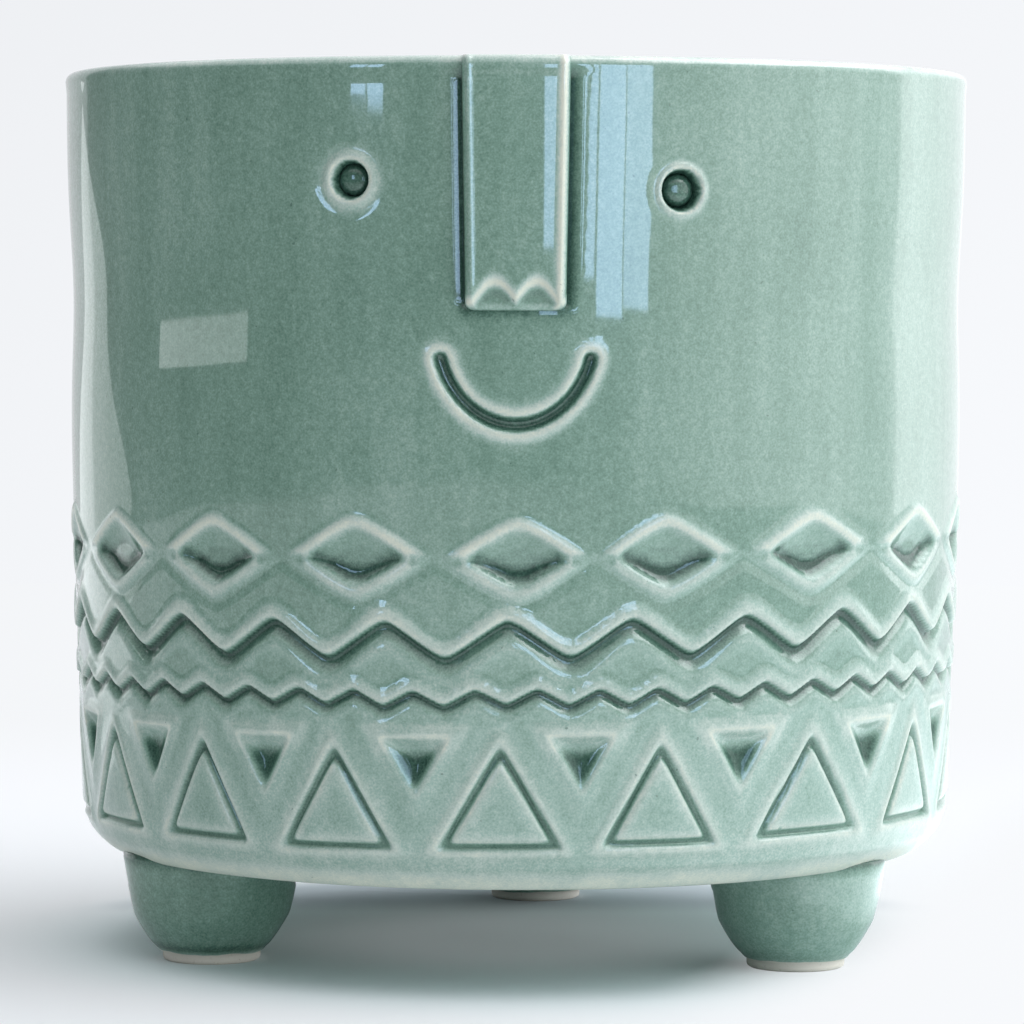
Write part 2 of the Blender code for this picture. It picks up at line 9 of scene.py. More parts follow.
import functools
import logging
import math
from dataclasses import dataclass, field, fields, replace
from enum import Enum
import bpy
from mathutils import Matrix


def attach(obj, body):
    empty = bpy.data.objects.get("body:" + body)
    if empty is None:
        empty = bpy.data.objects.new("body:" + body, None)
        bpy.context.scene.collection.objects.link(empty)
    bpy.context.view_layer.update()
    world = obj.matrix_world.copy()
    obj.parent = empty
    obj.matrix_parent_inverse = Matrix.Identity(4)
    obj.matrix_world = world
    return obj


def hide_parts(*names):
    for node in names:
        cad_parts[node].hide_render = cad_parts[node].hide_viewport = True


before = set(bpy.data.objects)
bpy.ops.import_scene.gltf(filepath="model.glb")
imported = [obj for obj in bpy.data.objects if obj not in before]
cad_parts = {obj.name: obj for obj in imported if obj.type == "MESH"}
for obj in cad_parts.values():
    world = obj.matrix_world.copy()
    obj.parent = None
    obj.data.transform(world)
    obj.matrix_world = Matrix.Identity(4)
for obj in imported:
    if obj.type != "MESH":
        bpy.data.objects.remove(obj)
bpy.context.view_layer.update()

from types import SimpleNamespace
from typing import Iterable, Sequence

import bmesh
import bpy
import numpy as np
from mathutils import Quaternion, Vector
from mathutils.geometry import delaunay_2d_cdt

LOG = logging.getLogger("face_planter")
MM = 0.001
PROFILE_REACH = 6.0  # millimetres from a stamped edge that its profile goes on
PROFILE_RANGE = 3.5  # how far up or down a profile's value may go
SLIP_RANGE = 20.0  # degrees that a table of hand slips spans, half of it each way
BODY = "root"

Value = "Socket | float | int | tuple | str | bpy.types.Material"
Profile = tuple[tuple[float, float], ...]
Place = tuple[float, float]  # an angle round the pot and a height
Line = list[Place]
Colour = tuple[float, float, float]


# Sums written on the sockets of nodes


class Socket:
    """A node's output that takes part in Python sums by adding Math nodes to its tree."""

    def __init__(self, sheet: "NodeSheet", link: bpy.types.NodeSocket) -> None:
        """Wrap one output.

        Args:
            sheet: the tree that the output belongs to.
            link: the output itself.
        """
        self.sheet = sheet
        self.link = link

    def __add__(self, other: Value) -> "Socket":
        """Sum with a number or a socket."""
        return self.sheet.math("ADD", self, other)

    __radd__ = __add__

    def __sub__(self, other: Value) -> "Socket":
        """Difference from a number or a socket."""
        return self.sheet.math("SUBTRACT", self, other)

    def __rsub__(self, other: Value) -> "Socket":
        """A number less this socket."""
        return self.sheet.math("SUBTRACT", other, self)

    def __mul__(self, other: Value) -> "Socket":
        """Product with a number or a socket."""
        return self.sheet.math("MULTIPLY", self, other)

    __rmul__ = __mul__

    def __truediv__(self, other: Value) -> "Socket":
        """Quotient by a number or a socket."""
        return self.sheet.math("DIVIDE", self, other)

    def __rtruediv__(self, other: Value) -> "Socket":
        """A number over this socket."""
        return self.sheet.math("DIVIDE", other, self)

    def __pow__(self, other: Value) -> "Socket":
        """This socket raised to a power."""
        return self.sheet.math("POWER", self, other)

    def __neg__(self) -> "Socket":
        """The socket with its sign turned."""
        return self * -1.0

    def __abs__(self) -> "Socket":
        """The size of the value."""
        return self.sheet.math("ABSOLUTE", self)

    def at_least(self, other: Value) -> "Socket":
        """The larger of two values."""
        return self.sheet.math("MAXIMUM", self, other)

    def at_most(self, other: Value) -> "Socket":
        """The smaller of two values."""
        return self.sheet.math("MINIMUM", self, other)

    def soft_size(self, softness: float) -> "Socket":
        """The size of the value with its corner at nought rounded off."""
        return self.sheet.math("SQRT", self * self + softness * softness)

    def fade(self, start: float, end: float) -> "Socket":
        """0 at start and before, 1 at end and after, and a soft step between."""
        inputs = {"Value": self, "From Min": start, "From Max": end, "To Min": 0.0, "To Max": 1.0}
        return self.sheet.take("ShaderNodeMapRange", {"interpolation_type": "SMOOTHSTEP"}, inputs)

    def blend(self, low: Value, high: Value) -> "Socket":
        """low where this socket is 0 and high where it is 1."""
        return self.sheet.take("ShaderNodeMix", {"data_type": "FLOAT"}, {"Factor": self, "A": low, "B": high})


class NodeSheet:
    """A node tree while it is being written."""

    def __init__(self, tree: bpy.types.NodeTree) -> None:
        """Start on a tree.

        Args:
            tree: a shader or geometry tree, which is emptied first.
        """
        self.tree = tree
        tree.nodes.clear()

    def add(self, kind: str, settings: dict | None = None, inputs: dict | None = None) -> bpy.types.Node:
        """Add a node.

        Args:
            kind: the node's type.
            settings: its properties, with `stops` for a ramp and `points` for a curve.
            inputs: a value or a socket for each input, by its name or number.

        Returns:
            The node.
        """
        node = self.tree.nodes.new(kind)
        row = len(self.tree.nodes)
        node.location = (220.0 * (row % 24), -260.0 * (row // 24))
        for name, value in (settings or {}).items():
            if name == "stops":
                self._set_stops(node.color_ramp, value)
            elif name == "points":
                self._set_points(node.mapping, value)
            else:
                setattr(node, name, value)
        for name, value in (inputs or {}).items():
            self.feed(self.find(node.inputs, name), value)
        return node

    @staticmethod
    def _set_stops(ramp: bpy.types.ColorRamp, stops: Sequence[tuple[float, tuple]]) -> None:
        """Give a ramp its stops.

        Args:
            ramp: the ramp of a node.
            stops: a position and a colour for each.
        """
        while len(ramp.elements) < len(stops):
            ramp.elements.new(1.0)
        for element, (position, colour) in zip(ramp.elements, stops):
            element.position = position
            element.color = (*colour, 1.0)

    @staticmethod
    def _set_points(mapping: bpy.types.CurveMapping, points: Sequence[tuple[float, float]]) -> None:
        """Give a curve its points.

        Args:
            mapping: the curve of a node.
            points: its places, from left to right.
        """
        curve = mapping.curves[0]
        while len(curve.points) < len(points):
            curve.points.new(1.0, 0.5)
        for point, place in zip(curve.points, points):
            point.location = place
            point.handle_type = "AUTO_CLAMPED"
        mapping.update()

    @staticmethod
    def find(sockets: Iterable, name: str | int | None) -> bpy.types.NodeSocket:
        """Look up a socket of a node.

        Args:
            sockets: the node's inputs or outputs.
            name: its name or number, or None for the first one in use.

        Returns:
            The socket.
        """
        if isinstance(name, int):
            return sockets[name]
        return next(socket for socket in sockets if socket.enabled and name in (None, socket.name))

    def feed(self, target: bpy.types.NodeSocket, value: Value) -> None:
        """Link a socket to an input, or set the input's own value.

        Args:
            target: the input.
            value: a socket or a plain value.
        """
        if isinstance(value, Socket):
            self.tree.links.new(value.link, target)
        elif isinstance(value, tuple) and target.type == "RGBA":
            target.default_value = (*value, 1.0)
        else:
            target.default_value = value

    def out(self, node: bpy.types.Node, name: str | int | None = None) -> Socket:
        """One output of a node, or its first one in use."""
        return Socket(self, self.find(node.outputs, name))

    def take(self, kind: str, settings: dict | None = None, inputs: dict | None = None) -> Socket:
        """Add a node as `add` does, for its first output in use."""
        return self.out(self.add(kind, settings, inputs))

    def math(self, operation: str, *values: Value) -> Socket:
        """The result of a Math node."""
        return self.take("ShaderNodeMath", {"operation": operation}, dict(enumerate(values)))

    def long_side(self, one: Value, other: Value) -> Socket:
        """The long side over two sides that stand square to each other."""
        return self.math("SQRT", one * one + other * other)

    def axes(self, place: Socket) -> tuple[Socket, ...]:
        """The X, Y and Z of a place."""
        split = self.add("ShaderNodeSeparateXYZ", None, {"Vector": place})
        return tuple(self.out(split, axis) for axis in "XYZ")

    def join(self, x: Value, y: Value, z: Value) -> Socket:
        """A place from its X, Y and Z."""
        return self.take("ShaderNodeCombineXYZ", None, {"X": x, "Y": y, "Z": z})

    def tint(self, share: Value, low: Value, high: Value) -> Socket:
        """A colour between two, by a share."""
        return self.take("ShaderNodeMix", {"data_type": "RGBA"}, {"Factor": share, "A": low, "B": high})

    def noise(self, place: Socket, size: float, detail: float = 2.0, rough: float = 0.5) -> Socket:
        """Soft noise, about 0.5 on average.

        Args:
            place: where to read it.
            size: the size of its patches, in metres.
            detail: how many finer layers it has.
            rough: how strong those are.

        Returns:
            The noise as a number.
        """
        inputs = {"Vector": place, "Scale": 1.0 / size, "Detail": detail, "Roughness": rough}
        return self.take("ShaderNodeTexNoise", {"noise_dimensions": "3D"}, inputs)

    def unevenness(self, place: Socket, size: float, detail: float = 2.0, rough: float = 0.5) -> Socket:
        """Soft noise as `noise` makes it, about nought on average."""
        return self.noise(place, size, detail, rough) - 0.5

    def stretch(self, place: Socket, scale: tuple[float, float, float]) -> Socket:
        """A place scaled along each axis."""
        return self.take("ShaderNodeVectorMath", {"operation": "MULTIPLY"}, {0: place, 1: scale})

    def curve(self, points: Sequence[tuple[float, float]], share: Socket) -> Socket:
        """The value of a curve whose points and places lie from 0 to 1."""
        return self.take("ShaderNodeFloatCurve", {"points": points}, {"Value": share})

    def edge(self, distance: Socket, profile: Profile) -> Socket:
        """Read an edge profile, which stays level beyond its ends.

        Args:
            distance: the distance from the edge, in metres.
            profile: (distance in millimetres, value) pairs.

        Returns:
            The value there.
        """
        table = list(profile)
        if table[0][0] > -PROFILE_REACH:
            table.insert(0, (-PROFILE_REACH, table[0][1]))
        table.append((PROFILE_REACH, table[-1][1]))
        points = [(0.5 + 0.5 * x / PROFILE_REACH, 0.5 + 0.5 * y / PROFILE_RANGE) for x, y in table]
        share = distance / (2.0 * PROFILE_REACH * MM) + 0.5
        return (self.curve(points, share) - 0.5) * (2.0 * PROFILE_RANGE)


class SizedTree(NodeSheet):
    """A geometry tree whose sizes are inputs with names."""

    def __init__(self, name: str) -> None:
        """Make an empty tree that takes and gives geometry.

        Args:
            name: what the tree is called.
        """
        super().__init__(bpy.data.node_groups.new(name, "GeometryNodeTree"))
        self.values: dict[str, object] = {}
        self.tree.interface.new_socket("Geometry", in_out="INPUT", socket_type="NodeSocketGeometry")
        self.tree.interface.new_socket("Geometry", in_out="OUTPUT", socket_type="NodeSocketGeometry")
        self.entry = self.tree.nodes.new("NodeGroupInput")
        self.geometry = self.out(self.entry, "Geometry")

    def size(self, name: str, value: float | int | bpy.types.Material) -> Socket:
        """Add a named input.

        Args:
            name: the input's name.
            value: what the modifier sets it to.

        Returns:
            The input as a socket.
        """
        kinds = {int: "NodeSocketInt", float: "NodeSocketFloat", bpy.types.Material: "NodeSocketMaterial"}
        made = self.tree.interface.new_socket(name, in_out="INPUT", socket_type=kinds[type(value)])
        self.values[made.identifier] = value
        return self.out(self.entry, name)

    def sizes(self, owner: object, label: str) -> SimpleNamespace:
        """Add an input for every number that a dataclass holds.

        Args:
            owner: the dataclass.
            label: what its inputs' names start with.

        Returns:
            The inputs under the fields' names.
        """
        found = SimpleNamespace()
        for item in fields(owner):
            value = getattr(owner, item.name)
            if isinstance(value, (int, float)) and not isinstance(value, bool):
                setattr(found, item.name, self.size(f"{label} {item.name.replace('_', ' ')}", value))
        return found

    def pass_through(self, kind: str, inputs: dict, settings: dict | None = None) -> None:
        """Send the geometry through one more node."""
        node = self.add(kind, settings, {"Geometry": self.geometry, **inputs})
        self.geometry = self.out(node, "Geometry")

    def bake(self, piece: bpy.types.Object, material: bpy.types.Material) -> None:
        """Finish the tree, run it on a piece and keep the result as the piece's plain mesh.

        Args:
            piece: the object whose mesh goes in.
            material: what the result is made of.
        """
        glaze = self.size("Material", material)
        self.pass_through("GeometryNodeRealizeInstances", {})
        self.pass_through("GeometryNodeSetMaterial", {"Material": glaze})
        leave = self.tree.nodes.new("NodeGroupOutput")
        self.feed(leave.inputs["Geometry"], self.geometry)
        modifier = piece.modifiers.new(self.tree.name, "NODES")
        modifier.node_group = self.tree
        for identifier, value in self.values.items():
            modifier[identifier] = value
        graph = bpy.context.evaluated_depsgraph_get()
        made = bpy.data.meshes.new_from_object(piece.evaluated_get(graph), depsgraph=graph)
        piece.modifiers.remove(modifier)
        rough = piece.data
        piece.data = made
        bpy.data.meshes.remove(rough)
        made.name = piece.name


# Finishes


def from_screen(red: int, green: int, blue: int) -> Colour:
    """A colour as it is mixed, from the numbers a screen shows for it.

    Args:
        red: 0 to 255.
        green: 0 to 255.
        blue: 0 to 255.

    Returns:
        The same parts, each from 0 to 1 and in step with the light.
    """
    return tuple(
        part / 12.92 if part <= 0.04045 else ((part + 0.055) / 1.055) ** 2.4
        for part in (red / 255, green / 255, blue / 255)
    )


class Coating(Enum):
    """How a piece was glazed."""

    POURED = "poured glaze, thin on edges and deep in hollows"
    DIPPED = "dipped glaze that stops short of the ground"


@dataclass(frozen=True)
class CeladonGlaze:
    """A glossy grey-green glaze: pale where it breaks over an edge and dark where it pools."""

    name: str
    coating: Coating = Coating.POURED
    edge: Colour = from_screen(221, 225, 210)
    breaking: Colour = from_screen(186, 202, 193)
    light: Colour = from_screen(150, 177, 166)
    body: Colour = from_screen(120, 153, 138)
    deep: Colour = from_screen(76, 110, 96)
    pooled: Colour = from_screen(40, 70, 60)
    clay: Colour = from_screen(226, 220, 210)
    clay_speck: Colour = from_screen(168, 150, 132)
    clay_top: float = 1.7 * MM
    clay_roughness: float = 0.85
    roughness: float = 0.34
    coat_roughness: float = 0.035
    least_coat: float = 0.12
    rim_gloss: float = 142.5 * MM  # above it, thin glaze keeps its gloss

    def make(self) -> bpy.types.Material:
        """Build the material.

        Returns:
            The finished material.
        """
        material = bpy.data.materials.new(self.name)
        material.use_nodes = True
        sheet = NodeSheet(material.node_tree)
        place = sheet.out(sheet.add("ShaderNodeTexCoord"), "Object")
        thin, pool = (
            sheet.out(sheet.add("ShaderNodeAttribute", {"attribute_name": name}), "Fac") for name in ("thin", "pool")
        )

        clouds = sheet.unevenness(place, 28 * MM, 3.0)
        runs = sheet.unevenness(sheet.stretch(place, (1.0, 1.0, 0.09)), 4.5 * MM, 3.0)
        mottle = sheet.unevenness(place, 1.1 * MM, 3.0, 0.65)
        grain = sheet.unevenness(place, 0.33 * MM, 1.0)
        depth = 0.52 - 0.5 * thin + 0.46 * pool  # 0 is a bare edge and 1 the deepest pool
        depth = depth + clouds * 0.18 + runs * 0.2 + (mottle * 0.3 + grain * 0.36) * (1.0 - 0.5 * thin)
        stops = (
            (0.0, self.edge),
            (0.2, self.breaking),
            (0.36, self.light),
            (0.53, self.body),
            (0.78, self.deep),
            (1.0, self.pooled),
        )
        colour = sheet.take("ShaderNodeValToRGB", {"stops": stops}, {"Fac": depth})
        pits = sheet.noise(place, 0.8 * MM, 0.0).fade(0.86, 0.89)
        colour = sheet.tint(pits * 0.45, colour, self.pooled)

        z = sheet.axes(place)[2]
        below_rim = z.fade(self.rim_gloss, self.rim_gloss - 3.0 * MM)
        coat: Socket = (1.0 - 0.5 * pool - 0.9 * thin * below_rim).at_least(self.least_coat)
        roughness: Socket | float = self.roughness + (mottle * 0.1)
        if self.coating is Coating.DIPPED:
            line = z + sheet.unevenness(place, 5 * MM) * (0.9 * MM)
            bare = line.fade(self.clay_top + 0.08 * MM, self.clay_top - 0.08 * MM)
            specks = sheet.unevenness(place, 0.5 * MM).fade(0.1, 0.3)
            clay = sheet.tint(specks * 0.35, self.clay, self.clay_speck)
            colour = sheet.tint(bare, colour, clay)
            roughness = bare.blend(roughness, self.clay_roughness)
            coat = coat * (1.0 - bare)
        ripple = sheet.noise(sheet.stretch(place, (1.0, 1.0, 0.4)), 6 * MM, 1.0)
        relief = mottle * 0.35 + grain * 0.1 + runs * 0.5 + ripple * 3.0
        bump = sheet.take("ShaderNodeBump", None, {"Strength": 0.16, "Distance": 0.12 * MM, "Height": relief})
        inputs = {
            "Base Color": colour,
            "Roughness": roughness,
            "IOR": 1.5,
            "Specular IOR Level": 0.06,
            "Coat Weight": coat,
            "Coat Roughness": self.coat_roughness,
            "Coat IOR": 1.52,
            "Normal": bump,
        }
        shader = sheet.take("ShaderNodeBsdfPrincipled", None, inputs)
        sheet.add("ShaderNodeOutputMaterial", None, {"Surface": shader})
        material.diffuse_color = (*self.body, 1.0)
        return material


# Meshes


def on_pot(theta: float, radius: float, z: float) -> tuple[float, float, float]:
    """The point at an angle round the pot, a radius and a height."""
    return (radius * math.sin(theta), -radius * math.cos(theta), z)


def hump(place: float, middle: float, spread: float) -> float:
    """A round rise about a middle: 1 there, and close to 0 at twice its spread."""
    return math.exp(-(((place - middle) / spread) ** 2))


class ClayMesh:
    """Points and faces of one piece, each point with how thin its glaze is and how deep it pools."""

    def __init__(self) -> None:
        """Start with nothing."""
        self.points: list[tuple[float, float, float]] = []
        self.faces: list[tuple[int, ...]] = []
        self.thin: list[float] = []
        self.pool: list[float] = []
        self.outside: list[float] = []

    def add(self, point: Sequence[float], thin: float = 0.0, pool: float = 0.0, outside: float = 0.0) -> int:
        """Add a point.

        Args:
            point: where it is.
            thin: how thin the glaze is there, 0 to 1.
            pool: how deep it pools there, 0 to 1.
            outside: 1 where stamps may act on the point.

        Returns:
            The point's number.
        """
        self.points.append(tuple(point))
        self.thin.append(thin)
        self.pool.append(pool)
        self.outside.append(outside)
        return len(self.points) - 1

    def bridge(self, first: Sequence[int], second: Sequence[int], closed: bool = True) -> None:
        """Join two rows of points by faces.

        Args:
            first: the points of one row.
            second: those of the other.
            closed: whether the rows are rings.
        """
        count = len(first)
        for step in range(count if closed else count - 1):
            after = (step + 1) % count
            self.faces.append((first[step], first[after], second[after], second[step]))

    def fan(self, ring: Sequence[int], centre: int) -> None:
        """Close a ring of points by triangles about a centre."""
        for step, start in enumerate(ring):
            self.faces.append((start, ring[(step + 1) % len(ring)], centre))

    def make(self, name: str, material: bpy.types.Material | None = None) -> bpy.types.Object:
        """Turn the points and faces into a smooth object whose faces point outwards.

        Args:
            name: what the object is called.
            material: its glaze, if it has one yet.

        Returns:
            The object, at the origin.
        """
        mesh = bpy.data.meshes.new(name)
        mesh.from_pydata(self.points, [], self.faces)
        for label in ("thin", "pool", "outside"):
            layer = mesh.attributes.new(label, "FLOAT", "POINT")
            layer.data.foreach_set("value", getattr(self, label))
        bm = bmesh.new()
        bm.from_mesh(mesh)
        bmesh.ops.recalc_face_normals(bm, faces=bm.faces)
        if bm.calc_volume(signed=True) < 0.0:
            bmesh.ops.reverse_faces(bm, faces=bm.faces)
        bm.to_mesh(mesh)
        bm.free()
        mesh.shade_smooth()
        if material:
            mesh.materials.append(material)
        made = bpy.data.objects.new(name, mesh)
        bpy.context.scene.collection.objects.link(made)
        return made


def settle(piece: bpy.types.Object, node: str) -> None:
    """Let a piece stand for its solid and report it.

    Args:
        piece: the finished piece.
        node: the solid it replaces.
    """
    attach(piece, BODY)
    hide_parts(node)
    piece.data.calc_loop_triangles()
    LOG.info("%s: %d triangles in place of %s", piece.name, len(piece.data.loop_triangles), node)


# The turned body


@dataclass(frozen=True)
class PotBody:
    """Sizes of the turned body."""

    height: float = 0.146
    rim_radius: float = 0.0757
    low_radius: float = 0.0730
    waist_depth: float = 0.0008
    waist_drop: float = 0.037
    waist_spread: float = 0.014
    foot_height: float = 0.017
    edge_radius: float = 0.0681
    corner_rise: float = 0.009
    wall: float = 0.005
    floor_thickness: float = 0.005
    seat_width: float = 0.002
    inside_fillet: float = 0.004
    flare: float = 0.0002
    flare_height: float = 0.0019
    flare_over: float = 0.001
    corner_power: float = 2.8
    lip_power: float = 0.6
    lip_blend: float = 0.0013

    def upper_radius(self, z: float) -> float:
        """The outer radius above the bottom corner.

        Args:
            z: the height.

        Returns:
            The radius.
        """
        share = (self.height - z) / (self.height - self.foot_height - self.corner_rise)
        swell = self.rim_radius - (self.rim_radius - self.low_radius) * share * share
        return swell - self.waist(z)

    def waist(self, z: float) -> float:
        """How far the waist draws in at a height."""
        return self.waist_depth * hump(z, self.height - self.waist_drop, self.waist_spread)

    def radius(self, z: float) -> float:
        """The outer radius below the lip, bottom corner included.

        Args:
            z: the height.

        Returns:
            The radius.
        """
        corner_top = self.foot_height + self.corner_rise
        if z >= corner_top:
            return self.upper_radius(z)
        share = (corner_top - z) / self.corner_rise
        full = self.upper_radius(corner_top)
        return full - (full - self.edge_radius) * share**self.corner_power

    def hand_shape(self, theta: float, z: float) -> float:
        """How far the waist is filled out at the face, less what the wall draws in under the rim's flare.

        Args:
            theta: the angle.
            z: the height.

        Returns:
            The way outwards.
        """
        fill = self.waist(z) * max(0.0, math.cos(theta)) ** 3
        flare = self.flare * min(1.0, max(0.0, (self.lip_z + self.flare_over - z) / self.flare_height))
        return (fill - flare) * self.below_lip(z)

    def below_lip(self, z: float) -> float:
        """1 up to the lip, and on to 0 over its round."""
        return min(1.0, max(0.0, 1.0 - (z - self.lip_z) / self.lip_blend))

    def lip_turn(self, angle: float) -> tuple[float, float]:
        """The way out and up, -1 to 1, on the slightly squared round of the lip."""
        side, up = math.cos(angle), math.sin(angle)
        return math.copysign(abs(side) ** self.lip_power, side), abs(up) ** self.lip_power

    @property
    def lip_z(self) -> float:
        """Height of the middle of the half-round lip."""
        return self.height - self.wall / 2

    @property
    def seat_radius(self) -> float:
        """Radius of the opening that takes the base slab."""
        return self.edge_radius - self.seat_width

    @property
    def floor_top(self) -> float:
        """Height of the base slab's upper face."""
        return self.foot_height + self.floor_thickness


# Stamps: what each motif does to the unrolled wall


@dataclass(frozen=True)
class Stamp:
    """Fields of one motif: the clay's relief in metres, thin glaze and pooled glaze."""

    relief: Socket
    thin: Socket
    pool: Socket


@dataclass(frozen=True)
class EdgeProfile:
    """How clay and glaze lie across a stamped edge, by the distance from it in millimetres, outwards."""

    relief: Profile
    thin: Profile
    pool: Profile

    def press(self, sheet: NodeSheet, distance: Socket) -> Stamp:
        """The fields at a distance from the edge."""
        relief, thin, pool = (sheet.edge(distance, table) for table in (self.relief, self.thin, self.pool))
        return Stamp(relief * MM, thin, pool)


@dataclass(frozen=True)
class Unrolled:
    """Where a point lies on the unrolled wall, as fields."""

    sheet: SizedTree
    theta: Socket
    height: Socket
    body: PotBody

    def repeat(self, count: Socket, turn: Socket, slip: Socket | float = 0.0) -> tuple[Socket, Socket]:
        """Cut the wall into equal cells.

        Args:
            count: how many cells go round the pot.
            turn: the angle of the first cell's middle.
            slip: how far a hand moved the motif there, as an angle.

        Returns:
            The way across the cell from its middle, and the cell's number.
        """
        step = self.sheet.math("DIVIDE", math.tau, count)
        place = (self.theta - turn - slip) / step
        cell = self.sheet.math("ROUND", place)
        across = (place - cell) * step * self.body.rim_radius
        return across, self.sheet.math("FLOORED_MODULO", cell, count)

    def chance(self, cell: Socket, seed: int) -> tuple[Socket, ...]:
        """Draw by a cell's number.

        Args:
            cell: the number.
            seed: what tells one band's draws from another's.

        Returns:
            Three numbers from -1 to 1.
        """
        numbers = self.sheet.take(
            "FunctionNodeRandomValue",
            {"data_type": "FLOAT_VECTOR"},
            {"Min": (-1.0, -1.0, -1.0), "Max": (1.0, 1.0, 1.0), "ID": cell, "Seed": seed},
        )
        return self.sheet.axes(numbers)


@dataclass(frozen=True)
class HandSpacing:
    """How far a hand was off even spacing, as (angle, slip) in degrees round the face."""

    slips: Profile

    def slip(self, theta: float) -> float:
        """The slip at an angle, both in radians."""
        angles, slips = np.radians(self.slips).T
        return float(np.interp(theta, angles, slips))

    def slip_field(self, sheet: NodeSheet, theta: Socket) -> Socket:
        """The slip at an angle as a field."""
        points = [(0.5 + angle / 360.0, 0.5 + slip / SLIP_RANGE) for angle, slip in self.slips]
        return (sheet.curve(points, theta / math.tau + 0.5) - 0.5) * math.radians(SLIP_RANGE)

    def middles(self, count: int, turn: float) -> list[float]:
        """Place the motifs of a band.

        Args:
            count: how many there are.
            turn: the angle of the first one, slips aside.

        Returns:
            The angle of each one's middle.
        """
        even = (math.remainder(turn + math.tau * step / count, math.tau) for step in range(count))
        return [theta + self.slip(theta) for theta in even]


@dataclass(frozen=True)
class DiamondBand:
    """A row of pressed diamonds with a round ridge over each."""

    count: int = 18
    turn: float = math.radians(0.4)
    rise: float = 0.0519
    width: float = 0.0198
    height: float = 0.0115
    slip: float = 0.0003
    spacing: HandSpacing = HandSpacing(
        ((-180, 0), (-55, 0.3), (-30, 0), (0, 0), (20, -1.9), (40, -1.5), (60, 0), (180, 0))
    )
    profile: EdgeProfile = EdgeProfile(
        relief=(
            (-6, -1.28), (-2.4, -1.25), (-1.95, -1.15), (-1.3, -0.72), (-0.6, -0.22), (-0.1, 0.12),
            (0.3, 0.35), (0.7, 0.44), (1.1, 0.38), (1.45, 0.21), (1.7, 0.05), (1.95, 0),
        ),
        thin=(
            (-6, 0.14), (-3, 0.08), (-2.2, 0), (-1.95, 0), (-1.75, 0.26), (-1.1, 0.3), (-0.3, 0.34), (0, 0.5),
            (0.3, 0.84), (0.85, 0.84), (1.2, 0.62), (1.55, 0.46), (1.85, 0.2), (2.15, 0.03), (2.6, 0),
        ),
        pool=((-1.1, 1), (-0.6, 0.7), (-0.2, 0.1), (0.1, 0)),
    )

    def outline(self, body: PotBody, grow: float) -> list[Line]:
        """Draw the diamonds.

        Args:
            body: the pot.
            grow: how far outside their edges.

        Returns:
            Their outlines.
        """
        centre = body.foot_height + self.rise
        half = self.width / 2 + 1.6 * grow
        tall = self.height / 2 + grow
        corners = [(half, 0.0), (0.0, tall), (-half, 0.0), (0.0, -tall), (half, 0.0)]
        middles = self.spacing.middles(self.count, self.turn)
        return [[(theta + x / body.rim_radius, centre + z) for x, z in corners] for theta in middles]

    def stamp(self, wall: Unrolled) -> Stamp:
        """Press the diamonds, each with a hollow of rounder corners inside its edge.

        The lower half has a softer ridge, with a moat outside it and a trough inside. Glaze pools in the side
        corners, where the ridge gives way.

        Args:
            wall: the place on the wall.

        Returns:
            The fields.
        """
        sheet, body = wall.sheet, wall.body
        sizes = sheet.sizes(self, "Diamond")
        slip = self.spacing.slip_field(sheet, wall.theta)
        across, cell = wall.repeat(sizes.count, sizes.turn, slip)
        chance = wall.chance(cell, 3)
        across = across - chance[0] * sizes.slip
        up = wall.height - body.foot_height - sizes.rise - chance[1] * sizes.slip
        half = sizes.width * (0.5 + 0.012 * chance[2])
        tall = sizes.height * 0.5
        scale = half * tall / sheet.long_side(half, tall)
        rise = up.soft_size(0.0006) / tall
        edge = (across.soft_size(0.0018) / half + rise - 1.0) * scale
        lens = (across.soft_size(0.0036) / half + rise - 1.0) * scale
        below = up.fade(0.0009, -0.0012)
        near_edge = edge.fade(-0.0022, -0.0006)
        reach = near_edge.blend(lens, edge)
        reach = reach.at_least(0.0) + reach.at_most(0.0) * (1.0 + 0.75 * below)
        clay = sheet.edge(reach, self.profile.relief)
        ridge = clay.at_least(0.0) * (1.0 - 0.4 * below)
        moat = below * edge.fade(0.0013, 0.0021) * edge.fade(0.0033, 0.0023)
        trough = below * edge.fade(-0.0004, -0.0012) * lens.fade(-0.0024, -0.0012)
        thin = sheet.edge(reach, self.profile.thin) * (1.0 - 0.3 * below)
        outward, from_tips = abs(across / half), abs(up + 0.0003)
        corner = outward.fade(0.42, 0.78) * from_tips.fade(0.0028, 0.0009)
        gap = outward.fade(0.86, 0.97) * from_tips.fade(0.0013, 0.0003)
        pool = sheet.edge(edge, self.profile.pool) * (0.24 + (trough * 0.9).at_least(corner * 0.9))
        thin = thin * (1.0 - 0.8 * trough) * (1.0 - 0.85 * gap)
        ridge = ridge * (1.0 - 0.8 * gap)
        return Stamp((ridge + clay.at_most(0.0) - trough * 0.25 - moat * 0.16) * MM, thin, pool)


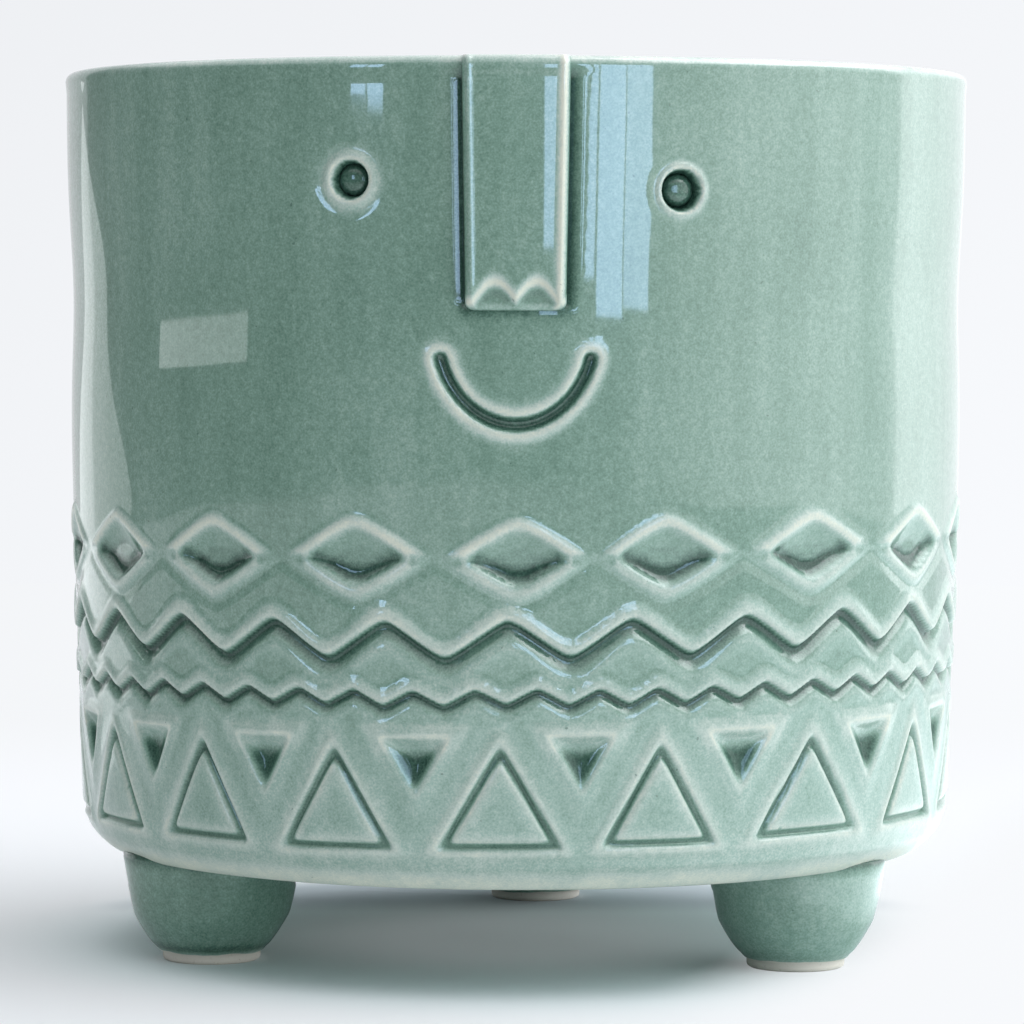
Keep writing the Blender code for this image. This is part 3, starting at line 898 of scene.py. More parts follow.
@dataclass(frozen=True)
class ZigzagBand:
    """A zigzag groove with a round ridge above it and a soft one below."""

    label: str
    teeth: int
    turn: float
    rise: float
    swing: float
    slip: float
    seed: int
    profile: EdgeProfile
    sharpness: tuple[float, float] = (0.93, 0.7)  # of its corners at the groove and away from it

    @staticmethod
    def wave(share: float) -> float:
        """The zigzag's height, -1 to 1, at a share of a tooth from its peak."""
        return math.asin(0.975 * math.cos(math.tau * share)) / math.asin(0.975)

    def outline(self, body: PotBody, offset: float) -> list[Line]:
        """Draw the zigzag.

        Args:
            body: the pot.
            offset: how far above its groove.

        Returns:
            One line all round the pot.
        """
        steps = self.teeth * 8
        middle = body.foot_height + self.rise + offset
        line = []
        for step in range(steps + 1):
            line.append((self.turn + math.tau * step / steps, middle + self.swing * self.wave(step / 8 + 0.5)))
        return [line]

    def stamp(self, wall: Unrolled) -> Stamp:
        """Press the zigzag, which turns more sharply in its groove than beside it.

        Args:
            wall: the place on the wall.

        Returns:
            The fields.
        """
        sheet, body = wall.sheet, wall.body
        sizes = sheet.sizes(self, self.label)
        along = sheet.join(sheet.math("SINE", wall.theta), sheet.math("COSINE", wall.theta), float(self.seed))
        drift = sheet.unevenness(along, 0.9, 1.0)
        share = (wall.theta - sizes.turn + drift * 0.045) * sizes.teeth / math.tau
        turned = sheet.math("COSINE", share * math.tau) * -1.0
        sharp, soft = (
            sheet.math("ARCSINE", turned * round_off) / math.asin(round_off) for round_off in self.sharpness
        )
        slope = sizes.swing * sizes.teeth * (2.0 / (math.pi * body.rim_radius))
        lean = 1.0 / sheet.long_side(slope, 1.0)
        rise = sheet.unevenness(along, 0.35)
        up = wall.height - body.foot_height - sizes.rise + rise * sizes.slip * 2.0
        far = abs(up - sizes.swing * sharp - 0.0006).fade(0.0006, 0.0026)
        distance = (up - sizes.swing * far.blend(sharp, soft)) * lean
        return self.profile.press(sheet, distance)


@dataclass(frozen=True)
class TriangleBand:
    """A row of triangles, each a groove round a pillow, or a pressed notch that points down."""

    label: str
    point_up: bool
    count: int
    turn: float
    rise: float
    width: float
    height: float
    slip: float
    seed: int
    spacing: HandSpacing
    profile: EdgeProfile

    def outline(self, body: PotBody, grow: float) -> list[Line]:
        """Draw the triangles.

        Args:
            body: the pot.
            grow: how far outside their edges.

        Returns:
            Their outlines.
        """
        sign = 1.0 if self.point_up else -1.0
        side = math.hypot(self.width / 2, self.height)
        half = self.width / 2 + grow * (side + self.width / 2) / self.height
        tip = self.height + grow * side / (self.width / 2)
        base = body.foot_height + self.rise
        corners = [(-half, -grow), (half, -grow), (0.0, tip), (-half, -grow)]
        middles = self.spacing.middles(self.count, self.turn)
        return [[(theta + x / body.rim_radius, base + sign * z) for x, z in corners] for theta in middles]

    def stamp(self, wall: Unrolled) -> Stamp:
        """Press the triangles. One that points down is a notch, whose lower part is pressed more softly.

        Args:
            wall: the place on the wall.

        Returns:
            The fields.
        """
        sheet, body = wall.sheet, wall.body
        sizes = sheet.sizes(self, self.label)
        slip = self.spacing.slip_field(sheet, wall.theta)
        across, cell = wall.repeat(sizes.count, sizes.turn, slip)
        chance = wall.chance(cell, self.seed)
        across = across - chance[0] * sizes.slip
        up = wall.height - body.foot_height - sizes.rise - chance[1] * sizes.slip * 0.7
        if not self.point_up:
            up = -up
        tilt = 1.0 + 0.02 * chance[2]
        half = sizes.width * 0.5 * tilt
        side = sheet.long_side(half, sizes.height)
        flank = (across.soft_size(0.0006) * sizes.height + (up - sizes.height) * half) / side
        pressed = self.profile.press(sheet, sheet.math("SMOOTH_MAX", flank, -up, 0.0016))
        if self.point_up:
            return pressed
        under = up.fade(0.0014, 0.0036)
        relief = pressed.relief.at_least(0.0) * (1.0 - 0.3 * under) + pressed.relief.at_most(0.0)
        return Stamp(relief, pressed.thin * (1.0 - 0.35 * under), pressed.pool * under)


@dataclass(frozen=True)
class Smile:
    """The smile: a round-ended groove along an arc."""

    radius: float = 0.0119
    drop: float = 0.0446
    half_angle: float = math.radians(81.0)
    half_width: float = 0.0012
    profile: EdgeProfile = EdgeProfile(
        relief=(
            (-6, -1.3), (-1, -1.25), (-0.6, -1.05), (-0.15, -0.32), (0.2, 0.06), (0.6, 0.18), (1, 0.13),
            (1.4, 0.05), (1.75, 0),
        ),
        thin=(
            (-0.35, 0), (0, 0.4), (0.3, 0.84), (0.8, 0.8), (1.3, 0.56), (1.75, 0.3), (2.3, 0.08), (2.8, 0),
        ),
        pool=((-0.6, 0.8), (-0.2, 0.42), (0.1, 0)),
    )

    def outline(self, body: PotBody) -> list[Line]:
        """Draw the arc.

        Args:
            body: the pot.

        Returns:
            The middle of the groove.
        """
        centre = body.height - self.drop
        angles = [self.half_angle * (step / 12 - 1.0) for step in range(25)]
        return [
            [(self.radius * math.sin(t) / body.rim_radius, centre - self.radius * math.cos(t)) for t in angles]
        ]

    def stamp(self, wall: Unrolled) -> Stamp:
        """Press the smile, which is a little narrower at its bottom than a round arc.

        Args:
            wall: the place on the wall.

        Returns:
            The fields.
        """
        sheet, body = wall.sheet, wall.body
        sizes = sheet.sizes(self, "Smile")
        across = wall.theta * body.rim_radius
        up = wall.height - body.height + sizes.drop
        across = across * (1.08 - 7.5 * (up + sizes.radius).at_least(0.0))
        angle = sheet.math("ARCTAN2", across, -up)
        angle = angle.at_most(sizes.half_angle).at_least(-sizes.half_angle)
        side = across - sizes.radius * sheet.math("SINE", angle)
        rest = up + sizes.radius * sheet.math("COSINE", angle)
        return self.profile.press(sheet, sheet.long_side(side, rest) - sizes.half_width)


@dataclass(frozen=True)
class EyeSocket:
    """An eye: a round hole with a raised ring about it."""

    label: str
    angle: float
    drop: float
    hole_radius: float = 0.0030
    ring_spread: float = 1.0
    profile: EdgeProfile = EdgeProfile(
        relief=(
            (-0.75, -2.8), (-0.5, -2), (-0.25, -0.9), (0, -0.15), (0.2, 0.12), (0.45, 0.29), (0.75, 0.27),
            (1, 0.06), (1.2, -0.09), (1.38, -0.13), (1.6, -0.11), (2.4, -0.015), (2.65, 0),
        ),
        thin=(
            (-0.3, 0), (0, 0.5), (0.25, 0.9), (0.5, 0.72), (0.8, 0.52), (1.25, 0.44), (1.6, 0.3), (2, 0.1),
            (2.6, 0),
        ),
        pool=((-6, 0.75), (-1, 0.8), (-0.5, 1), (-0.2, 0.7), (0.05, 0)),
    )

    def centre(self, body: PotBody) -> Place:
        """The eye's angle and height."""
        return self.angle, body.height - self.drop

    def outline(self, body: PotBody) -> list[Line]:
        """Draw the hole.

        Args:
            body: the pot.

        Returns:
            A circle inside it, and its edge.
        """
        theta, z = self.centre(body)
        turns = [math.tau * step / 24 for step in range(25)]
        return [
            [(theta + radius * math.cos(t) / body.rim_radius, z + radius * math.sin(t)) for t in turns]
            for radius in (0.3 * self.hole_radius, self.hole_radius)
        ]

    def stamp(self, wall: Unrolled) -> Stamp:
        """Press the eye, with a deeper moat on the left as seen than on the right.

        Args:
            wall: the place on the wall.

        Returns:
            The fields.
        """
        sheet, body = wall.sheet, wall.body
        sizes = sheet.sizes(self, self.label)
        across = (wall.theta - sizes.angle) * body.rim_radius
        up = wall.height - body.height + sizes.drop
        reach = sheet.long_side(across, up)
        distance = reach - sizes.hole_radius
        distance = distance.at_most(0.0) + distance.at_least(0.0) / sizes.ring_spread
        deeper = 1.0 - 0.5 * distance.fade(0.0006, 0.0012) * across / reach
        pressed = self.profile.press(sheet, distance)
        return replace(pressed, relief=pressed.relief * deeper)


@dataclass(frozen=True)
class NoseStrip:
    """The nose: a clay strip laid down the wall, with two nostrils pressed into its tip."""

    top_width: float = 0.0168
    tip_width: float = 0.0156
    length: float = 0.0390
    relief: float = 0.0023
    shoulder: float = 0.0015
    nostril_rise: float = 0.0034
    corner: float = 0.0013
    skirt: EdgeProfile = EdgeProfile(
        relief=((-6, 0), (-0.7, -0.3), (0, -0.56), (0.35, -0.5), (0.8, -0.35), (1.3, -0.18), (1.75, -0.03), (2, 0)),
        thin=((0, 0),),
        pool=((0.2, 1), (0.7, 0.75), (1.3, 0.3), (2.2, 0.06), (3.2, 0)),
    )

    def half_width(self, body: PotBody, z: float) -> float:
        """Half the strip's width at a height."""
        share = (body.height - z) / self.length
        return (self.top_width + (self.tip_width - self.top_width) * share) / 2

    def round_corner(self, up: float) -> float:
        """How far the strip's side draws in at a height above its tip."""
        rest = max(0.0, 1.0 - up / self.corner)
        return self.corner * (1.0 - math.sqrt(1.0 - min(1.0, rest) ** 2))

    def outline(self, body: PotBody) -> list[Line]:
        """Draw the strip.

        Args:
            body: the pot.

        Returns:
            Its sides and its tip.
        """
        tip = body.height - self.length
        corners = ((-1.0, body.lip_z), (-1.0, tip), (1.0, tip), (1.0, body.lip_z))
        return [[(side * self.half_width(body, z) / body.rim_radius, z) for side, z in corners]]

    def stamp(self, wall: Unrolled) -> Stamp:
        """Press the wall in a little along the strip, and let the glaze gather there.

        Args:
            wall: the place on the wall.

        Returns:
            The fields.
        """
        sheet, body = wall.sheet, wall.body
        sizes = sheet.sizes(self, "Nose")
        share = (body.height - wall.height) / sizes.length
        half = (sizes.top_width + (sizes.tip_width - sizes.top_width) * share) * 0.5
        side = abs(wall.theta) * body.rim_radius - half
        under = (body.height - sizes.length) - wall.height
        distance = sheet.math("SMOOTH_MAX", side, under, 0.0008)
        top = wall.height.fade(body.height - 0.0012, body.height - 0.004)
        beside = under.fade(0.0004, -0.0016)
        pressed = self.skirt.press(sheet, distance)
        pool = pressed.pool * (0.25 + 0.75 * top) * beside.blend(0.5, 1.0)
        return Stamp(pressed.relief * top * beside, pressed.thin, pool)

    def wave(self, across: float) -> float:
        """How far the tip's front edge is pressed up, from 0 at the corners and the middle to 1."""
        return math.cos(0.5 * math.pi * min(1.0, abs(math.sqrt(across * across + 0.0009) - 0.4) / 0.43))

    def build(self, body: PotBody, material: bpy.types.Material) -> bpy.types.Object:
        """Build the strip.

        Args:
            body: the pot it lies on.
            material: its glaze.

        Returns:
            The strip.
        """
        mesh = ClayMesh()
        columns, straight, curled = 97, 150, 20
        over, sunk = math.radians(86.0), 0.8 * MM
        shares = np.linspace(-1.0, 1.0, columns)
        shares = np.sign(shares) * (1.0 - (1.0 - np.abs(shares)) ** 1.5)
        tip = body.height - self.length
        lip = body.wall / 2
        middle = body.radius(body.lip_z) - lip
        heights = tip + (body.lip_z - tip) * np.linspace(0.0, 1.0, straight) ** 1.25
        fronts, backs = [], []
        for row in range(straight + curled):
            wrap = max(0, row - straight + 1) / curled * over
            z = heights[min(row, straight - 1)]
            half = self.half_width(body, z) - self.round_corner(z - tip)
            front_row, back_row = [], []
            for across in shares:
                rise, thin, pool = self._section(across, half, z - tip)
                theta = across * half / body.rim_radius
                if wrap > 0.0:
                    thickness = rise * max(0.0, 1.0 - (wrap / over) ** 2.2)
                    side, up = body.lip_turn(wrap)
                    height = min(body.lip_z + (lip + 0.35 * thickness) * up, body.height - 0.00002)
                    outer = middle + (lip + thickness) * side + body.hand_shape(theta, height)
                    inner = middle + (lip - sunk) * side
                    back_z = body.lip_z + (lip - sunk) * up
                    thin = max(thin, min(1.0, wrap * 0.9))
                else:
                    outer, height = body.radius(z) + body.hand_shape(theta, z) + rise, z
                    inner, back_z = body.radius(z) - sunk, z
                front_row.append(mesh.add(on_pot(theta, outer, height), thin, pool))
                back_row.append(mesh.add(on_pot(theta, inner, back_z)))
            fronts.append(front_row)
            backs.append(back_row)
        for side in (fronts, backs):
            for lower, upper in zip(side, side[1:]):
                mesh.bridge(lower, upper, closed=False)
        for end in (0, -1):
            mesh.bridge(fronts[end], backs[end], closed=False)
        for end in (0, -1):
            mesh.bridge([row[end] for row in fronts], [row[end] for row in backs], closed=False)
        return mesh.make("nose_strip", material)

    def _section(self, across: float, half: float, up: float) -> tuple[float, float, float]:
        """The strip's height over the wall and its glaze at one place.

        Args:
            across: the place across, -1 to 1.
            half: half the strip's width there.
            up: height above the tip.

        Returns:
            The height, how thin the glaze is and how deep it pools.
        """
        from_side = (1.0 - abs(across)) * half
        wave = self.wave(across)
        brow = 1.1 * MM + (self.nostril_rise - 0.3 * MM) * wave
        over = 1.0 / (1.0 + math.exp(-2.1 * ((up - brow) / (1.1 * MM) + 0.1)))

        # the round of the sides, the scoop of the nostrils, the round of the tip and a bead along each side
        side = math.sqrt(max(0.0, 1.0 - (1.0 - min(from_side / self.shoulder, 1.0)) ** 2.4))
        scoop = 0.40 - 0.14 * wave
        bottom = math.sqrt(max(0.0, 1.0 - (1.0 - min(1.0, max(up, 0.0) / (1.2 * MM))) ** 2))
        bead = 0.26 * MM * hump(from_side, 1.1 * MM, 0.55 * MM) * over
        height = (self.relief - 0.2 * MM) * side * (scoop + (1.0 - scoop) * over) * bottom + bead

        # glaze runs off the beads, off the nostrils' upper edge and off the tip's lower one; the left bead's
        # pale line is kept much weaker than the right one's, as painted shade on the side turned from the light
        crown = (1.0 if across > 0.0 else 0.26) * hump(from_side, 1.2 * MM, 0.8 * MM)
        ledge = hump(up, brow + 0.2 * MM, 1.1 * MM)
        lower = 0.2 * hump(up, 0.5 * MM, 0.7 * MM) * (1.0 - over)
        thin = max(crown, ledge, lower) * (0.35 + 0.65 * min(1.0, max(0.0, up / (0.6 * MM))))
        nostril = (1.0 - over) * hump(up, brow - 1.2 * MM, 0.8 * MM) * wave
        pool = max(0.6 * nostril, 0.9 * (1.0 - min(1.0, from_side / (0.4 * MM))))
        return height, min(1.0, thin), min(1.0, pool)


# The wall


class SkinLattice:
    """Points of the wall's outer skin: close together where the clay is stamped and wide apart elsewhere."""

    def __init__(self, body: PotBody, low: float, high: float, columns: int = 968, levels: int = 4) -> None:
        """Lay out the finest lattice.

        Args:
            body: the pot.
            low: the skin's lowest height.
            high: the skin's highest height.
            columns: points round the pot in the finest rows.
            levels: how many times the spacing may double, and one.
        """
        self.body = body
        self.low, self.high = low, high
        self.columns, self.levels = columns, levels
        self.step = math.tau * body.rim_radius / columns
        self.row_step = self.step * math.sqrt(3.0) / 2.0
        self.rows = int((high - low) / self.row_step)
        self.need = np.full((self.rows, columns), levels - 1, dtype=int)
        self.tracks: list[tuple] = []
        self.track_points: Line = []

    def lay_track(self, start: Place, end: Place, offsets: Sequence[float]) -> None:
        """Lay rows of points beside a straight line, in place of the lattice's own.

        Args:
            start: the line's first end.
            end: its other end.
            offsets: how far each row lies to the right of the line.
        """
        radius = self.body.rim_radius
        run = Vector(((end[0] - start[0]) * radius, end[1] - start[1]))
        along = run.normalized()
        side = Vector((along.y, -along.x))
        count = int(run.length / self.step)
        for row, offset in enumerate(offsets):
            for step in range(count + 1 - row % 2):
                place = run * ((step + 0.5 * (row % 2)) / count) + side * offset
                self.track_points.append((start[0] + place.x / radius, start[1] + place.y))
        self.tracks.append((start, along, side, run.length, min(offsets), max(offsets)))

    def refine(self, lines: list[Line], margin: float) -> None:
        """Ask for the finest spacing near lines.

        Args:
            lines: the lines.
            margin: how far from them it is asked for.
        """
        seeds = np.zeros_like(self.need, dtype=bool)
        for line in lines:
            for (t0, z0), (t1, z1) in zip(line, line[1:]):
                length = math.hypot((t1 - t0) * self.body.rim_radius, z1 - z0)
                share = np.linspace(0.0, 1.0, max(2, int(length / self.step) + 1))
                column = np.round((t0 + (t1 - t0) * share) / math.tau * self.columns).astype(int)
                row = np.round((z0 + (z1 - z0) * share - self.low) / self.row_step).astype(int)
                inside = (row >= 0) & (row < self.rows)
                seeds[row[inside], column[inside] % self.columns] = True
        self._ask(self._grow(seeds, margin), 0)

    def refine_rows(self, low: float, high: float, level: int) -> None:
        """Ask for at least a level of fineness in a belt.

        Args:
            low: the belt's lower height.
            high: its upper height.
            level: how many times the spacing may double there.
        """
        zone = np.zeros_like(self.need, dtype=bool)
        first, last = (int((z - self.low) / self.row_step) for z in (low, high))
        zone[max(0, first) : last] = True
        self._ask(zone, level)

    def _ask(self, zone: np.ndarray, level: int) -> None:
        """Note a level, and let the spacing grow step by step around it.

        Args:
            zone: where it is asked for.
            level: how many times the spacing may double there.
        """
        for wider in range(level, self.levels):
            self.need[zone] = np.minimum(self.need[zone], wider)
            zone = self._grow(zone, 1.6 * self.step * 2**wider)

    def _grow(self, zone: np.ndarray, margin: float) -> np.ndarray:
        """Widen a zone.

        Args:
            zone: the zone.
            margin: by how much, in metres.

        Returns:
            The wider zone.
        """
        grown = zone.copy()
        reach = int(math.ceil(margin / self.row_step))
        for down in range(-reach, reach + 1):
            rest = margin * margin - (down * self.row_step) ** 2
            if rest < 0.0:
                continue
            side = int(math.sqrt(rest) / self.step)
            shifted = np.zeros_like(zone)
            if down >= 0:
                shifted[down:] = zone[: self.rows - down]
            else:
                shifted[:down] = zone[-down:]
            total = np.cumsum(np.concatenate([shifted[:, -side - 1 :], shifted, shifted[:, :side]], axis=1), axis=1)
            grown |= (total[:, 2 * side + 1 :] - total[:, : -2 * side - 1]) > 0
        return grown

    def points(self) -> Line:
        """Thin the lattice out.

        Returns:
            The points that the asked fineness keeps, and those of the tracks.
        """
        row, column = np.indices(self.need.shape)
        coarsest = np.zeros_like(self.need)
        member = np.ones_like(self.need, dtype=bool)
        j, i = row.copy(), column.copy()
        for level in range(1, self.levels):
            odd = (j // 2) % 2
            member &= (j % 2 == 0) & ((i - odd) % 2 == 0)
            coarsest[member] = level
            i = (i - odd) // 2
            j = j // 2
        keep = coarsest >= self.need
        theta = (column + 0.5 * (row % 2)) * (math.tau / self.columns)
        z = self.low + row * self.row_step
        edge = 0.7 * self.step * 2
        keep &= (z > self.low + edge) & (z < self.high - edge)
        for start, along, side, length, first, last in self.tracks:
            x = (np.remainder(theta - start[0] + math.pi, math.tau) - math.pi) * self.body.rim_radius
            y = z - start[1]
            forward, off = x * along.x + y * along.y, x * side.x + y * side.y
            margin = 0.6 * self.step
            beside = (off > first - margin) & (off < last + margin)
            keep &= ~(beside & (forward > -margin) & (forward < length + margin))
        return list(zip(theta[keep].tolist(), z[keep].tolist())) + self.track_points


@dataclass
class StampedWall:
    """The wall with its lip, sockets, smile and stamped bands."""

    body: PotBody
    nose: NoseStrip
    eyes: tuple[EyeSocket, ...]
    ring: int = 264
    band_tilt: float = 0.0007
    hand_wave: float = 0.00016
    skin_rise: float = 0.0046
    smile: Smile = field(default_factory=Smile)
    diamonds: DiamondBand = field(default_factory=DiamondBand)
    big_zigzag: ZigzagBand = ZigzagBand(
        label="Big zigzag", teeth=24, turn=math.radians(-8.1), rise=0.0385, swing=0.0027, slip=0.0005, seed=5,
        profile=EdgeProfile(
            relief=(
                (-4, 0), (-3, 0.08), (-2.3, 0.08), (-1.7, -0.12), (-1, -0.55), (-0.3, -1.05), (0.2, -1.2),
                (0.6, -0.95), (0.9, -0.35), (1.2, 0.24), (1.55, 0.45), (2, 0.46), (2.5, 0.35), (2.95, 0.14),
                (3.3, 0.02), (3.6, 0),
            ),
            thin=(
                (-4.6, 0), (-3.6, 0.14), (-2.8, 0.34), (-2.3, 0.36), (-1.7, 0.16), (-1.2, 0), (0.75, 0),
                (0.95, 0.18), (1.15, 0.55), (1.45, 0.74), (1.9, 0.6), (2.4, 0.52), (2.9, 0.42), (3.25, 0.2),
                (3.6, 0.03), (4.2, 0),
            ),
            pool=(
                (-1.9, 0), (-1.4, 0.1), (-0.9, 0.3), (-0.3, 0.62), (0.2, 0.92), (0.6, 1), (0.85, 0.6), (1.05, 0),
            ),
        ),
    )
    small_zigzag: ZigzagBand = ZigzagBand(
        label="Small zigzag", teeth=48, turn=math.radians(-1.25), rise=0.0299, swing=0.00105, slip=0.0004, seed=8,
        profile=EdgeProfile(
            relief=(
                (-3, 0), (-2.1, 0.1), (-1.5, 0.06), (-1, -0.2), (-0.5, -0.6), (0, -0.9), (0.3, -0.8),
                (0.65, -0.25), (0.9, 0.2), (1.2, 0.38), (1.65, 0.38), (2.1, 0.26), (2.5, 0.09), (2.8, 0.01),
                (3.2, 0),
            ),
            thin=(
                (-3.4, 0), (-2.5, 0.18), (-1.8, 0.34), (-1.3, 0.24), (-0.8, 0), (0.5, 0), (0.7, 0.4),
                (0.95, 0.72), (1.25, 0.6), (1.7, 0.5), (2.3, 0.44), (2.65, 0.2), (3, 0.04), (3.6, 0),
            ),
            pool=((-1.5, 0), (-1.1, 0.1), (-0.6, 0.4), (-0.2, 0.85), (0.25, 1), (0.5, 0.6), (0.7, 0)),
        ),
    )
    triangles: TriangleBand = TriangleBand(
        label="Triangle", point_up=True, count=18, turn=math.radians(-1.6), rise=0.0068, width=0.0199,
        height=0.0167, slip=0.00035, seed=12,
        spacing=HandSpacing(
            ((-180, 0), (-60, -0.6), (-22, -1), (0, -0.4), (20, -0.4), (40, 1.4), (58, 3), (100, 1), (180, 0))
        ),
        profile=EdgeProfile(
            relief=(
                (-6, 0.3), (-4, 0.34), (-2.4, 0.32), (-1.75, 0.24), (-1.3, 0.04), (-0.95, -0.42), (-0.6, -0.82),
                (-0.3, -0.66), (0, -0.1), (0.3, 0.2), (0.65, 0.27), (1.2, 0.15), (2, 0.03), (3, 0),
            ),
            thin=(
                (-6, 0.16), (-4, 0.18), (-2.6, 0.36), (-1.8, 0.58), (-1.4, 0.7), (-1.1, 0.4), (-0.9, 0),
                (-0.25, 0), (0, 0.35), (0.3, 0.66), (0.65, 0.68), (1.1, 0.52), (1.8, 0.38), (2.8, 0.22), (4, 0),
            ),
            pool=((-1.3, 0), (-1.05, 0.3), (-0.75, 0.72), (-0.45, 0.72), (-0.15, 0.25), (0.1, 0)),
        ),
    )
    notches: TriangleBand = TriangleBand(
        label="Notch", point_up=False, count=18, turn=math.radians(8.4), rise=0.0242, width=0.0103,
        height=0.0093, slip=0.0003, seed=17,
        spacing=HandSpacing(
            ((-180, 0), (-60, -0.6), (-22, -1), (0, -0.4), (20, -0.2), (40, 1.2), (58, 2.6), (100, 1), (180, 0))
        ),
        profile=EdgeProfile(
            relief=(
                (-6, -1.3), (-2, -1.25), (-1.4, -1), (-0.7, -0.5), (-0.15, -0.05), (0.25, 0.22), (0.6, 0.3),
                (1.2, 0.2), (1.9, 0.08), (2.8, 0),
            ),
            thin=(
                (-6, 0.1), (-2.1, 0.12), (-1.75, 0.08), (-1.5, 0.34), (-0.9, 0.38), (-0.3, 0.42), (0, 0.6),
                (0.35, 0.84), (0.7, 0.62), (1.1, 0.48), (1.6, 0.52), (2.2, 0.4), (2.6, 0.2), (3.4, 0),
            ),
            pool=((-1.2, 1), (-0.8, 0.85), (-0.4, 0.3), (-0.1, 0)),
        ),
    )

    @property
    def skin_low(self) -> float:
        """Height of the lowest line of the skin."""
        return self.body.foot_height + self.skin_rise

    def build(self, material: bpy.types.Material) -> bpy.types.Object:
        """Turn the wall, stamp it and keep the result as a plain mesh.

        Args:
            material: its glaze.

        Returns:
            The wall.
        """
        piece = self._turn().make("stamped_wall")
        self._stamp(piece, material)
        return piece

    def _lattice(self) -> SkinLattice:
        """Lay out the skin, fine along every edge of the stamps.

        Returns:
            The lattice.
        """
        body = self.body
        skin = SkinLattice(body, self.skin_low, body.lip_z)
        skin.refine(self.diamonds.outline(body, 0.0006), 1.35 * MM)
        skin.refine(self.big_zigzag.outline(body, 0.9 * MM), 1.75 * MM)
        skin.refine(self.small_zigzag.outline(body, 0.6 * MM), 1.35 * MM)
        skin.refine(self.triangles.outline(body, -0.5 * MM), 1.5 * MM)
        skin.refine(self.notches.outline(body, 0.0), 1.1 * MM)
        skin.refine(self.smile.outline(body), 3.4 * MM)
        for eye in self.eyes:
            skin.refine(eye.outline(body), 3.6 * MM)
        skin.refine(self.nose.outline(body), 1.0 * MM)
        low, high = body.height - self.nose.length + 0.6 * MM, body.lip_z - 0.7 * MM
        for sign in (-1.0, 1.0):
            ends = [(sign * self.nose.half_width(body, z) / body.rim_radius, z) for z in (low, high)]
            skin.lay_track(*ends, [sign * (0.33 * step - 0.6) * MM for step in range(11)])
        top = body.foot_height + self.diamonds.rise + self.diamonds.height / 2 + 3.0 * MM
        skin.refine_rows(self.skin_low, top, 1)
        skin.refine_rows(top, body.lip_z, 2)
        skin.refine_rows(body.lip_z - 3.6 * MM, body.lip_z, 1)
        return skin

    def _turn(self) -> ClayMesh:
        """Turn the wall before it is stamped.

        The skin is joined up on a plane, where the height is the distance from the middle, so that it closes
        round the pot without a seam.

        Returns:
            The wall's points and faces.
        """
        body = self.body
        mesh = ClayMesh()
        around = [math.tau * step / self.ring for step in range(self.ring)]
        edges = []
        places: Line = []
        for z in (self.skin_low, body.lip_z):
            start = len(places)
            places.extend((theta, z) for theta in around)
            edges.extend((start + s, start + (s + 1) % self.ring) for s in range(self.ring))
        places.extend(self._lattice().points())
        flat = [Vector(on_pot(theta, math.exp(z / body.rim_radius), 0.0)[:2]) for theta, z in places]
        found, _, faces, _, _, _ = delaunay_2d_cdt(flat, edges, [], 0, 1e-9, False)
        if len(found) != len(places):
            raise RuntimeError("the skin's points ran together")
        for theta, z in places:
            mesh.add(on_pot(theta, body.radius(z), z), outside=1.0)
        mesh.faces.extend(tuple(face) for face in faces if min(face) >= self.ring or max(face) >= self.ring)
        last = list(range(self.ring))
        ring = list(range(self.ring, 2 * self.ring))
        middle = body.radius(body.lip_z) - body.wall / 2
        for radius, z, thin, pool in self._inner_rings():
            outside = body.below_lip(z) if z > body.lip_z and radius > middle else 0.0
            following = [mesh.add(on_pot(theta, radius, z), thin, pool, outside) for theta in around]
            mesh.bridge(ring, following)
            ring = following
        mesh.bridge(ring, last)
        return mesh

    def _inner_rings(self) -> list[tuple[float, float, float, float]]:
        """List the rings over the lip, down the inside and under.

        Returns:
            Radius, height, thin glaze and pooled glaze of each.
        """
        body = self.body
        lip = body.wall / 2
        middle = body.radius(body.lip_z) - lip
        rings = []
        for step in range(1, 21):
            side, up = body.lip_turn(math.pi * step / 20)
            rings.append((middle + lip * side, body.lip_z + lip * up, 0.0, 0.0))
        fillet_top = body.floor_top + body.inside_fillet
        for step in range(1, 25):
            z = body.lip_z + (fillet_top - body.lip_z) * step / 24
            rings.append((body.radius(z) - body.wall, z, 0.0, 0.3 * (step / 24) ** 3))
        start = body.radius(fillet_top) - body.wall
        for step in range(1, 7):
            turn = 0.5 * math.pi * step / 6
            drawn = (start - body.seat_radius) * (1.0 - math.cos(turn))
            rings.append((start - drawn, fillet_top - body.inside_fillet * math.sin(turn), 0.0, 0.45))
        rings.append((body.seat_radius, body.foot_height, 0.0, 0.0))
        rings.append((body.edge_radius - 0.0006, body.foot_height, 0.3, 0.0))
        rings.append((body.edge_radius - 0.00015, body.foot_height + 0.00008, 0.6, 0.0))
        corner = [body.foot_height + rise for rise in (0.0004, 0.0008, 0.0013, 0.0019, 0.0026, 0.0034, 0.0040)]
        return rings + [(body.radius(z), z, 0.0, 0.0) for z in corner]

    def _stamp(self, piece: bpy.types.Object, material: bpy.types.Material) -> None:
        """Press every motif into the skin with one geometry tree, and note how the glaze lies on it.

        Args:
            piece: the turned wall.
            material: its glaze.
        """
        body = self.body
        sheet = SizedTree("stamped_wall")
        place = sheet.take("GeometryNodeInputPosition")
        x, y, z = sheet.axes(place)
        theta = sheet.math("ARCTAN2", x, -y)
        pressed = self._motifs(sheet, place, theta, z)
        outside = self._attribute(sheet, "outside")
        pool = pressed.pool * outside
        thin = pressed.thin * outside * (1.0 - 0.7 * pool)
        thin = thin.at_least(self._thin_rims_and_painted_light(sheet, place, theta, z))
        thin = thin.at_least(self._attribute(sheet, "thin")).at_most(1.0)
        pool = pool.at_least(self._attribute(sheet, "pool")).at_most(1.0)

